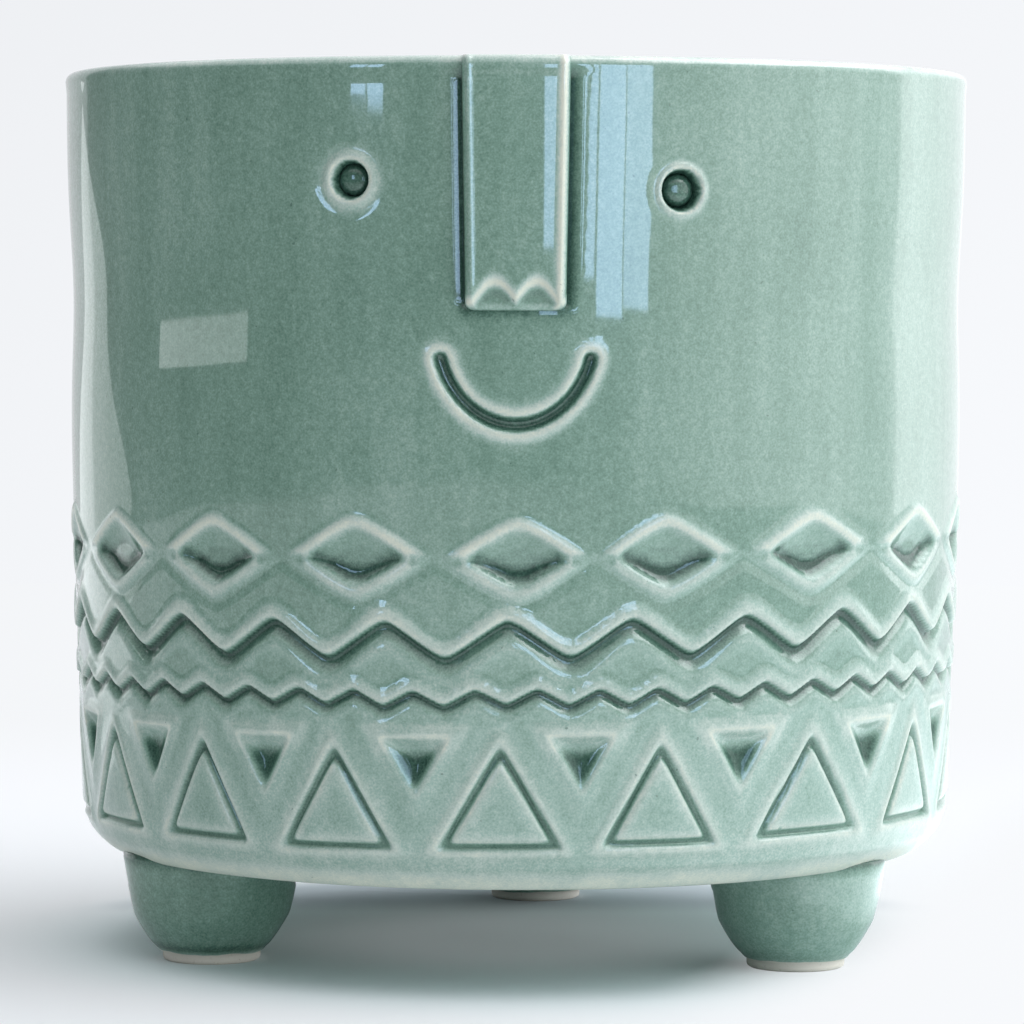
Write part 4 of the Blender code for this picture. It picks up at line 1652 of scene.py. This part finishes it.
        hand = sheet.size("Hand wave", self.hand_wave)
        swell = sheet.noise(sheet.stretch(place, (1.0, 1.0, 0.6)), 30 * MM, 1.5)
        flute = sheet.noise(sheet.stretch(place, (1.0, 1.0, 0.12)), 8 * MM, 1.0)
        waves = hand * (swell * -1.0 - flute * 0.34)
        front = sheet.math("COSINE", theta).at_least(0.0) ** 3.0
        from_waist = (body.height - body.waist_drop - z) / body.waist_spread
        fill = sheet.math("EXPONENT", -(from_waist * from_waist)) * front * body.waist_depth
        flare = ((z - body.lip_z - body.flare_over) / body.flare_height).at_least(-1.0).at_most(0.0) * body.flare
        push = pressed.relief * outside + waves + (fill + flare) * outside
        outwards = sheet.take("ShaderNodeVectorMath", {"operation": "NORMALIZE"}, {0: sheet.join(x, y, 0.0)})
        moved = sheet.take("ShaderNodeVectorMath", {"operation": "SCALE"}, {0: outwards, "Scale": push})
        for name, value in (("thin", thin), ("pool", pool)):
            inputs = {"Name": name, "Value": value}
            sheet.pass_through("GeometryNodeStoreNamedAttribute", inputs, {"data_type": "FLOAT"})
        sheet.pass_through("GeometryNodeSetPosition", {"Offset": moved})
        sheet.bake(piece, material)

    def _motifs(self, sheet: SizedTree, place: Socket, theta: Socket, z: Socket) -> Stamp:
        """Lay the face and the bands over each other.

        Args:
            sheet: the wall's tree.
            place: a point of the wall.
            theta: its angle.
            z: its height.

        Returns:
            The sum of the motifs' relief, and the most that any of them has of thin and of pooled glaze.
        """
        sway = sheet.unevenness(place, 22 * MM, 1.0) * (0.7 * MM)
        drift = sheet.math("SINE", theta) * sheet.size("Band tilt", self.band_tilt) + sway
        straight = Unrolled(sheet, theta, z, self.body)
        banded = Unrolled(sheet, theta, z - drift, self.body)
        stamps = [motif.stamp(straight) for motif in (self.smile, self.nose, *self.eyes)]
        bands = (self.diamonds, self.big_zigzag, self.small_zigzag, self.triangles, self.notches)
        stamps += [motif.stamp(banded) for motif in bands]
        return Stamp(
            functools.reduce(lambda one, other: one + other, (stamp.relief for stamp in stamps)),
            functools.reduce(Socket.at_least, (stamp.thin for stamp in stamps)),
            functools.reduce(Socket.at_least, (stamp.pool for stamp in stamps)),
        )

    def _thin_rims_and_painted_light(self, sheet: NodeSheet, place: Socket, theta: Socket, z: Socket) -> Socket:
        """Find where the wall is paler apart from the stamps. Glaze runs thin on the lip and at the bottom edge; the
        lip is also paler towards +X, as painted light from that side, the pale band at the bottom edge is widened as
        painted light from the bright table, and the lower wall is paler as painted light from it too.

        Args:
            sheet: the wall's tree.
            place: a point of the wall.
            theta: its angle.
            z: its height.

        Returns:
            How pale the wall is there, from thin glaze and painted light.
        """
        height, foot = self.body.height, self.body.foot_height
        softly = sheet.noise(place, 9 * MM, 2.0)
        # thin glaze on the lip, paler towards +X as painted light
        lip = z.fade(height - 1.6 * MM, height - 0.5 * MM) * (0.75 + 0.25 * sheet.math("SINE", theta))
        # thin glaze at the bottom edge, widened as painted light from the table
        foot_edge = abs(z - (foot + 0.6 * MM)).fade(5.2 * MM, 0.4 * MM)
        # painted light: the lower wall is paler, as if lit from the table below
        low = z.fade(foot + 29.0 * MM, foot + 21.5 * MM) * 0.16 + z.fade(foot + 11.5 * MM, foot + 6.0 * MM) * 0.22
        return (lip * (0.45 + softly * 0.7)).at_least(foot_edge * (0.6 + softly * 0.5)).at_least(low)

    @staticmethod
    def _attribute(sheet: NodeSheet, name: str) -> Socket:
        """A number stored on the mesh."""
        node = sheet.add("GeometryNodeInputNamedAttribute", {"data_type": "FLOAT"}, {"Name": name})
        return sheet.out(node, "Attribute")


# The smaller pieces


@dataclass(frozen=True)
class EyeBead:
    """The bead of clay at the bottom of an eye socket."""

    eye: EyeSocket
    depth: float = 0.0024
    radius: float = 0.00245
    height: float = 0.0014
    sunk: float = 0.0003
    segments: int = 40

    def build(self, body: PotBody, material: bpy.types.Material, name: str) -> bpy.types.Object:
        """Build the bead.

        Args:
            body: the pot.
            material: its glaze.
            name: what the piece is called.

        Returns:
            The bead.
        """
        theta, z = self.eye.centre(body)
        centre = Vector(on_pot(theta, body.radius(z) - self.depth, z))
        out = Vector(on_pot(theta, 1.0, 0.0))
        side = Vector((math.cos(theta), math.sin(theta), 0.0))
        mesh = ClayMesh()
        turns = [math.tau * step / self.segments for step in range(self.segments)]
        rings = []
        for width, rise in self._profile():
            pool = 1.0 - 0.5 * (max(0.0, rise) / self.height) ** 2
            ring = []
            for turn in turns:
                point = centre + side * (width * math.cos(turn)) + Vector((0.0, 0.0, width * math.sin(turn)))
                ring.append(mesh.add(point + out * rise, 0.0, pool))
            rings.append(ring)
        for lower, upper in zip(rings, rings[1:]):
            mesh.bridge(lower, upper)
        mesh.fan(rings[0], mesh.add(centre - out * self.sunk, 0.0, 1.0))
        mesh.fan(rings[-1], mesh.add(centre + out * self.height, 0.0, 0.5))
        return mesh.make(name, material)

    def _profile(self) -> list[tuple[float, float]]:
        """Draw half the bead.

        Returns:
            (width, rise) pairs from its hidden foot to its crown.
        """
        belly = 0.1 * MM
        outline = [(self.radius, -self.sunk), (self.radius * 1.03, belly)]
        for step in range(1, 14):
            turn = 0.5 * math.pi * step / 14
            outline.append((self.radius * math.cos(turn) ** 0.9, belly + (self.height - belly) * math.sin(turn)))
        return outline


def turned(
    mesh: ClayMesh, outline: list[tuple], segments: int, centre: tuple[float, float] = (0.0, 0.0)
) -> list[list[int]]:
    """Turn an outline about an upright axis and close it at both ends.

    Args:
        mesh: where the points and faces go.
        outline: (radius, height, thin, pool) points from the bottom up.
        segments: points round the axis.
        centre: where the axis stands.

    Returns:
        The rings of points.
    """
    rings = []
    turns = [math.tau * step / segments for step in range(segments)]
    for radius, z, thin, pool in outline:
        points = ((centre[0] + radius * math.cos(turn), centre[1] + radius * math.sin(turn), z) for turn in turns)
        rings.append([mesh.add(point, thin, pool) for point in points])
    for lower, upper in zip(rings, rings[1:]):
        mesh.bridge(lower, upper)
    for end in (0, -1):
        _, z, thin, pool = outline[end]
        mesh.fan(rings[end], mesh.add((*centre, z), thin, pool))
    return rings


@dataclass(frozen=True)
class BaseSlab:
    """The slab that closes the pot, with the glaze lying deeper round its upper edge."""

    edge: float = 0.0005

    def build(self, body: PotBody, material: bpy.types.Material) -> bpy.types.Object:
        """Build the slab.

        Args:
            body: the pot.
            material: its glaze.

        Returns:
            The slab.
        """
        full = body.seat_radius + 0.00005
        outline = [(share * full, body.foot_height, 0.1, 0.1) for share in (0.25, 0.5, 0.75, 0.97)]
        outline += [
            (full - self.edge, body.foot_height, 0.1, 0.2),
            (full, body.foot_height + 0.2 * self.edge, 0.0, 0.5),
            (full, body.floor_top - 0.1 * self.edge, 0.0, 0.6),
            (full - 0.001, body.floor_top, 0.0, 0.6),
        ]
        outline += [(share * full, body.floor_top, 0.0, 0.25 + 0.3 * share) for share in (0.95, 0.85, 0.7, 0.5, 0.25)]
        mesh = ClayMesh()
        turned(mesh, outline, 192)
        return mesh.make("base_slab", material)


@dataclass(frozen=True)
class StubbyFoot:
    """A round foot: bare clay on the ground, a rolled edge of glaze and a flank that runs up into the wall."""

    theta: float
    # how deep the glaze pools on this foot; less makes the foot paler, which is painted light on the feet that stand
    # in more light
    depth: float = 1.0
    ring_radius: float = 0.0554
    top_radius: float = 0.0145
    waist_radius: float = 0.0126
    waist_height: float = 0.0074
    base_radius: float = 0.0080
    clay_height: float = 0.0016
    glaze_step: float = 0.0005
    smooth_above: float = 0.0125

    def build(self, body: PotBody, material: bpy.types.Material, name: str) -> bpy.types.Object:
        """Build the foot.

        Args:
            body: the pot that stands on it.
            material: its glaze.
            name: what the piece is called.

        Returns:
            The foot.
        """
        mesh = ClayMesh()
        x, y, _ = on_pot(self.theta, self.ring_radius, 0.0)
        rings = turned(mesh, self._outline(body), 96, (x, y))
        for index in (index for ring in rings for index in ring):
            px, py, pz = mesh.points[index]
            turn = math.atan2(py - y, px - x)
            sway = 0.00012 * math.sin(2 * turn + 7 * self.theta) + 0.00008 * math.sin(5 * turn + 400 * pz)
            sway *= min(1.0, pz / 0.003) if pz < self.smooth_above else 0.0
            mesh.points[index] = (px - sway * math.cos(turn), py - sway * math.sin(turn), pz)
        return mesh.make(name, material)

    def _outline(self, body: PotBody) -> list[tuple[float, float, float, float]]:
        """Draw half the foot.

        Args:
            body: the pot that stands on it.

        Returns:
            Radius, height, thin glaze and pooled glaze, from the ground up into the wall.
        """
        low = 1.25 * self.clay_height
        base, clay = self.base_radius, self.clay_height
        edge = base + self.glaze_step
        sole = ((0.4 * base, 0.0), (0.8 * base, 0.0), (base - 0.0005, 0.0), (base - 0.0001, 0.00025), (base, 0.0007))
        outline = [(radius, z, 0.6, 0.0) for radius, z in (*sole, (base, clay - 0.0002))]
        outline.append((base + 0.4 * self.glaze_step, clay - 0.0001, 0.7, 0.0))
        outline.append((edge, clay + 0.0001, 0.5, 0.3))
        for step in range(1, 19):
            share = step / 18
            radius = edge + (self.waist_radius - edge) * share**0.7
            # depth scales the pool above the rolled edge and how pale the glaze is: painted light
            deep = self.depth * (0.45 * hump(share, 0.12, math.sqrt(0.02)) + 0.2)
            outline.append((radius, low + (self.waist_height - low) * share, 0.2 * (1.0 - self.depth), deep))
        for step in range(1, 17):
            share = step / 16
            radius = self.waist_radius + (self.top_radius - self.waist_radius) * share**0.8
            z = self.waist_height + (body.foot_height - self.waist_height) * share
            # darker towards the top: partly glaze pooled at the joint with the wall, partly painted shade under the
            # wall
            deep = self.depth * 0.2 + 0.5 * max(0.0, share - 0.85) / 0.15
            outline.append((radius, z, 0.1 * share + 0.2 * (1.0 - self.depth), deep))
        top, end = self.top_radius, body.foot_height + 0.0014
        hidden = ((top, body.foot_height + 0.0008), (top - 0.0004, end), (0.5 * top, end))
        return outline + [(radius, z, 0.0, 0.8) for radius, z in hidden]


# The studio


@dataclass(frozen=True)
class SoftBox:
    """A plain panel of light that faces the pot."""

    name: str
    azimuth: float
    distance: float
    width: float
    low: float
    high: float
    radiance: float
    colour: Colour
    lean: float = 0.0

    def build(self) -> None:
        """Hang the panel, turned in its own plane by its lean."""
        light = bpy.data.lights.new(self.name, "AREA")
        light.shape = "RECTANGLE"
        light.size = self.width
        light.size_y = self.high - self.low
        light.energy = self.radiance * math.pi * self.width * (self.high - self.low)
        light.color = self.colour
        lamp = bpy.data.objects.new(self.name, light)
        theta = math.radians(self.azimuth)
        lamp.location = on_pot(theta, self.distance, (self.low + self.high) / 2)
        inwards = Vector((-math.sin(theta), math.cos(theta), 0.0))
        turn = Quaternion((0.0, 0.0, 1.0), math.radians(self.lean))
        lamp.rotation_euler = (inwards.to_track_quat("-Z", "Y") @ turn).to_euler()
        lamp.visible_camera = lamp.visible_diffuse = False
        bpy.context.scene.collection.objects.link(lamp)


DAYLIGHT: Colour = (0.46, 0.68, 1.0)
ROOM_LIGHT: Colour = (0.95, 1.0, 1.0)


@dataclass(frozen=True)
class Studio:
    """A white table by two windows, and the camera.

    The tables hold (azimuth, value) pairs: degrees round the pot from the camera, and a level of light.
    """

    eye_distance: float = 0.790
    eye_height: float = 0.1112
    lens: float = 164.36
    pitch: float = math.radians(2.803)
    yaw: float = math.radians(0.046)
    roll: float = -0.0024
    panels: tuple[SoftBox, ...] = (
        SoftBox("window_right_a", 7.9, 0.52, 0.031, 0.110, 0.25, 8.5, DAYLIGHT),
        SoftBox("window_right_b", 13.2, 0.28, 0.0105, 0.1080, 0.20, 9.0, DAYLIGHT),
        SoftBox("window_right_c", 16.1, 0.28, 0.0085, 0.1060, 0.20, 9.0, DAYLIGHT),
        SoftBox("window_right_d", 20.4, 0.28, 0.0290, 0.0985, 0.20, 9.5, DAYLIGHT),
        SoftBox("window_right_e", 26.4, 0.28, 0.0270, 0.1005, 0.20, 8.0, DAYLIGHT),
        SoftBox("window_left_a", -34.05, 1.50, 0.092, 0.181, 0.56, 10.0, DAYLIGHT),
        SoftBox("window_left_b", -38.3, 1.50, 0.112, 0.185, 0.56, 10.0, DAYLIGHT),
        SoftBox("left_sill", -71.1, 0.18, 0.0858, 0.0975, 0.1046, 2.3, ROOM_LIGHT),
        SoftBox("left_board", -122.9, 0.30, 0.172, -0.0066, 0.1134, 0.9, ROOM_LIGHT, -32.4),
    )
    table_radius: float = 0.95
    table_middle: Colour = (0.88, 0.885, 0.9)
    # painted shade: the paper's colour under the pot, and under its back
    table_under_painted_shade: Colour = (0.78, 0.88, 0.9)
    table_behind_painted_shadow: Colour = (0.52, 0.58, 0.62)
    table_shine: Colour = (0.86, 0.96, 1.0)
    table_white: Colour = (0.982, 1.0, 1.025)
    sky_white: Colour = (0.982, 1.0, 1.03)
    zenith: float = 1.5
    table_sheen: Profile = (
        (-180, 0.2), (-120, 0.2), (-70, 0.4), (0, 1), (50, 1.4), (85, 1.5), (105, 1.2), (140, 0.8), (180, 0.3),
    )
    horizon: Profile = (
        (-180, 1.05), (-168, 0.78), (-145, 0.72), (-141, 0.7), (-139, 0.16), (-90, 0.16), (-30, 0.25), (0, 0.3),
        (20, 0.7), (49, 1.9), (60, 2.4), (75, 2.7), (87, 2.9), (104, 1.9), (111.5, 1.9), (114.5, 3.7), (122, 3.2),
        (137, 1.9), (154, 1.3), (180, 1.1),
    )
    above: Profile = (
        (-180, 0.7), (-120, 0.45), (-30, 0.5), (20, 0.85), (55, 1.6), (80, 2.3), (108, 2.3), (130, 1.2),
        (150, 0.8), (180, 0.7),
    )
    sky_sheen: Profile = (
        (-180, 1.2), (-90, 1.2), (0, 1.2), (30, 1.8), (48, 5), (70, 6.5), (125, 5), (150, 2.2), (180, 1.2),
    )

    def build(self) -> None:
        """Set the table, hang the lights and place the camera."""
        self._floor()
        self._world()
        for panel in self.panels:
            panel.build()
        self._camera()
        bpy.context.scene.view_settings.view_transform = "Standard"

    def _floor(self) -> None:
        """A pale table that runs out to white, with painted shade under the pot."""
        bm = bmesh.new()
        bmesh.ops.create_circle(bm, cap_ends=True, radius=self.table_radius, segments=128)
        data = bpy.data.meshes.new("table")
        bm.to_mesh(data)
        bm.free()
        table = bpy.data.objects.new("table", data)
        bpy.context.scene.collection.objects.link(table)
        table.data.materials.append(self._table_look())

    def _table_look(self) -> bpy.types.Material:
        """Make the table's material.

        The camera sees paper that glows behind the pot and at its right, as in a strong light, and faintly in
        the middle of the pot's shadow, as painted light. Under the pot the paper is painted cooler, and darker
        under its back, as painted shade. The glaze mirrors a band of light that lies on the table round the pot.

        Returns:
            The material.
        """
        material = bpy.data.materials.new("table_white")
        material.use_nodes = True
        sheet = NodeSheet(material.node_tree)
        x, y, _ = sheet.axes(sheet.out(sheet.add("ShaderNodeTexCoord"), "Object"))
        camera_ray, glossy_ray = self._rays(sheet)
        reach = sheet.long_side(x, y)
        lit = (reach + x * 0.1).fade(0.07, 0.11) * reach.fade(0.74, 0.28)
        lit = lit * self._reading(sheet, self._turn(sheet, x, y), self.table_sheen, 2.0)
        shine = sheet.take("ShaderNodeEmission", None, {"Color": self.table_shine, "Strength": 0.8 + lit * 1.7})
        behind, beside = y.fade(0.10, 0.42), (x - y * 0.25).fade(0.034, 0.072)
        # where the camera sees glowing paper: behind the pot, at its right, and faintly in the middle of its shadow
        # as painted light
        away = behind.at_least(beside).at_least(reach.fade(0.060, 0.015) * 0.13)
        # painted shade: cooler paper under the pot and darker paper under its back
        white = sheet.tint(reach.fade(0.095, 0.055), self.table_middle, self.table_under_painted_shade)
        white = sheet.tint(reach.fade(0.088, 0.074) * y.fade(0.03, 0.05), white, self.table_behind_painted_shadow)
        paper = sheet.take("ShaderNodeBsdfDiffuse", None, {"Color": white})
        glow = sheet.take("ShaderNodeEmission", None, {"Color": self.table_white, "Strength": 0.941 + x * 0.12})
        seen = sheet.take("ShaderNodeMixShader", None, {0: away * camera_ray, 1: paper, 2: glow})
        both = sheet.take("ShaderNodeMixShader", None, {0: glossy_ray * lit.at_most(1.0), 1: seen, 2: shine})
        sheet.add("ShaderNodeOutputMaterial", None, {"Surface": both})
        return material

    def _world(self) -> None:
        """Soft light all round: dim behind the camera, bright behind the pot and to its right."""
        world = bpy.data.worlds.new("soft_room")
        bpy.context.scene.world = world
        world.use_nodes = True
        sheet = NodeSheet(world.node_tree)
        x, y, z = sheet.axes(sheet.out(sheet.add("ShaderNodeTexCoord"), "Generated"))
        camera_ray, glossy_ray = self._rays(sheet)
        share = self._turn(sheet, x, y)
        elevation = sheet.math("ARCSINE", z) * (180.0 / math.pi)
        above = self._reading(sheet, share, self.above, 6.0)
        level = elevation.fade(20.0, 32.0).blend(self._reading(sheet, share, self.horizon, 6.0), above)
        level = elevation.fade(52.0, 64.0).blend(level, self.zenith)
        level = level + glossy_ray * elevation.fade(26.0, 38.0) * self._reading(sheet, share, self.sky_sheen, 10.0)
        seen = 0.917 - z * 0.33 + x * 0.2
        inputs = {"Color": self.sky_white, "Strength": camera_ray.blend(level, seen)}
        sheet.add("ShaderNodeOutputWorld", None, {"Surface": sheet.take("ShaderNodeBackground", None, inputs)})

    @staticmethod
    def _rays(sheet: NodeSheet) -> tuple[Socket, Socket]:
        """Whether a ray comes from the camera, and whether from a mirroring surface."""
        path = sheet.add("ShaderNodeLightPath")
        return sheet.out(path, "Is Camera Ray"), sheet.out(path, "Is Glossy Ray")

    @staticmethod
    def _turn(sheet: NodeSheet, x: Socket, y: Socket) -> Socket:
        """The azimuth of a place, from 0 to 1 with 0.5 towards the camera."""
        return sheet.math("ARCTAN2", x, -y) / math.tau + 0.5

    @staticmethod
    def _reading(sheet: NodeSheet, share: Socket, table: Profile, most: float) -> Socket:
        """Read a table of light.

        Args:
            sheet: the sheet to read it on.
            share: the azimuth as a share of a turn.
            table: the table.
            most: a level above all of its own.

        Returns:
            The level at the azimuth.
        """
        return sheet.curve([(angle / 360.0 + 0.5, value / most) for angle, value in table], share) * most

    def _camera(self) -> None:
        """The camera at the photograph's place."""
        data = bpy.data.cameras.new("camera")
        data.lens = self.lens
        data.sensor_width = 36.0
        data.sensor_fit = "HORIZONTAL"
        data.clip_end = 30.0
        camera = bpy.data.objects.new("camera", data)
        camera.location = (0.0, -self.eye_distance, self.eye_height)
        camera.rotation_euler = (0.5 * math.pi - self.pitch, self.roll, self.yaw)
        bpy.context.scene.collection.objects.link(camera)
        bpy.context.scene.camera = camera


def main() -> None:
    """Dress the planter and set the studio."""
    logging.basicConfig(level=logging.INFO, format="%(message)s")
    body = PotBody()
    nose = NoseStrip()
    left = EyeSocket("Left eye", math.radians(-19.8), 0.0190, ring_spread=1.32)
    right = EyeSocket("Right eye", math.radians(19.8), 0.0205, 0.0033, ring_spread=0.82)
    poured, bead_glaze, slab_glaze = (
        CeladonGlaze(name).make() for name in ("celadon_glaze", "bead_glaze", "slab_glaze")
    )
    dipped = CeladonGlaze("foot_glaze", Coating.DIPPED).make()

    settle(StampedWall(body, nose, (left, right)).build(poured), "pot_wall")
    settle(nose.build(body, poured), "nose")
    settle(BaseSlab().build(body, slab_glaze), "pot_floor")
    for side, eye in (("left", left), ("right", right)):
        bead = EyeBead(eye).build(body, bead_glaze, f"bead_{side}")
        settle(bead, f"eye_bead_{side}")
    # painted light: the front right foot, lit from the right, and the rear foot get less depth and so paler glaze
    # than the front left one
    feet = (("foot_rear", 0.5), ("foot_front_left", 1.0), ("foot_front_right", 0.2))
    for step, (node, depth) in enumerate(feet):
        theta = math.pi + math.radians(-4.0) + math.tau * step / len(feet)
        foot = StubbyFoot(theta, depth).build(body, dipped, f"stubby_{node}")
        settle(foot, node)
    Studio().build()


if __name__ == "__main__":
    main()
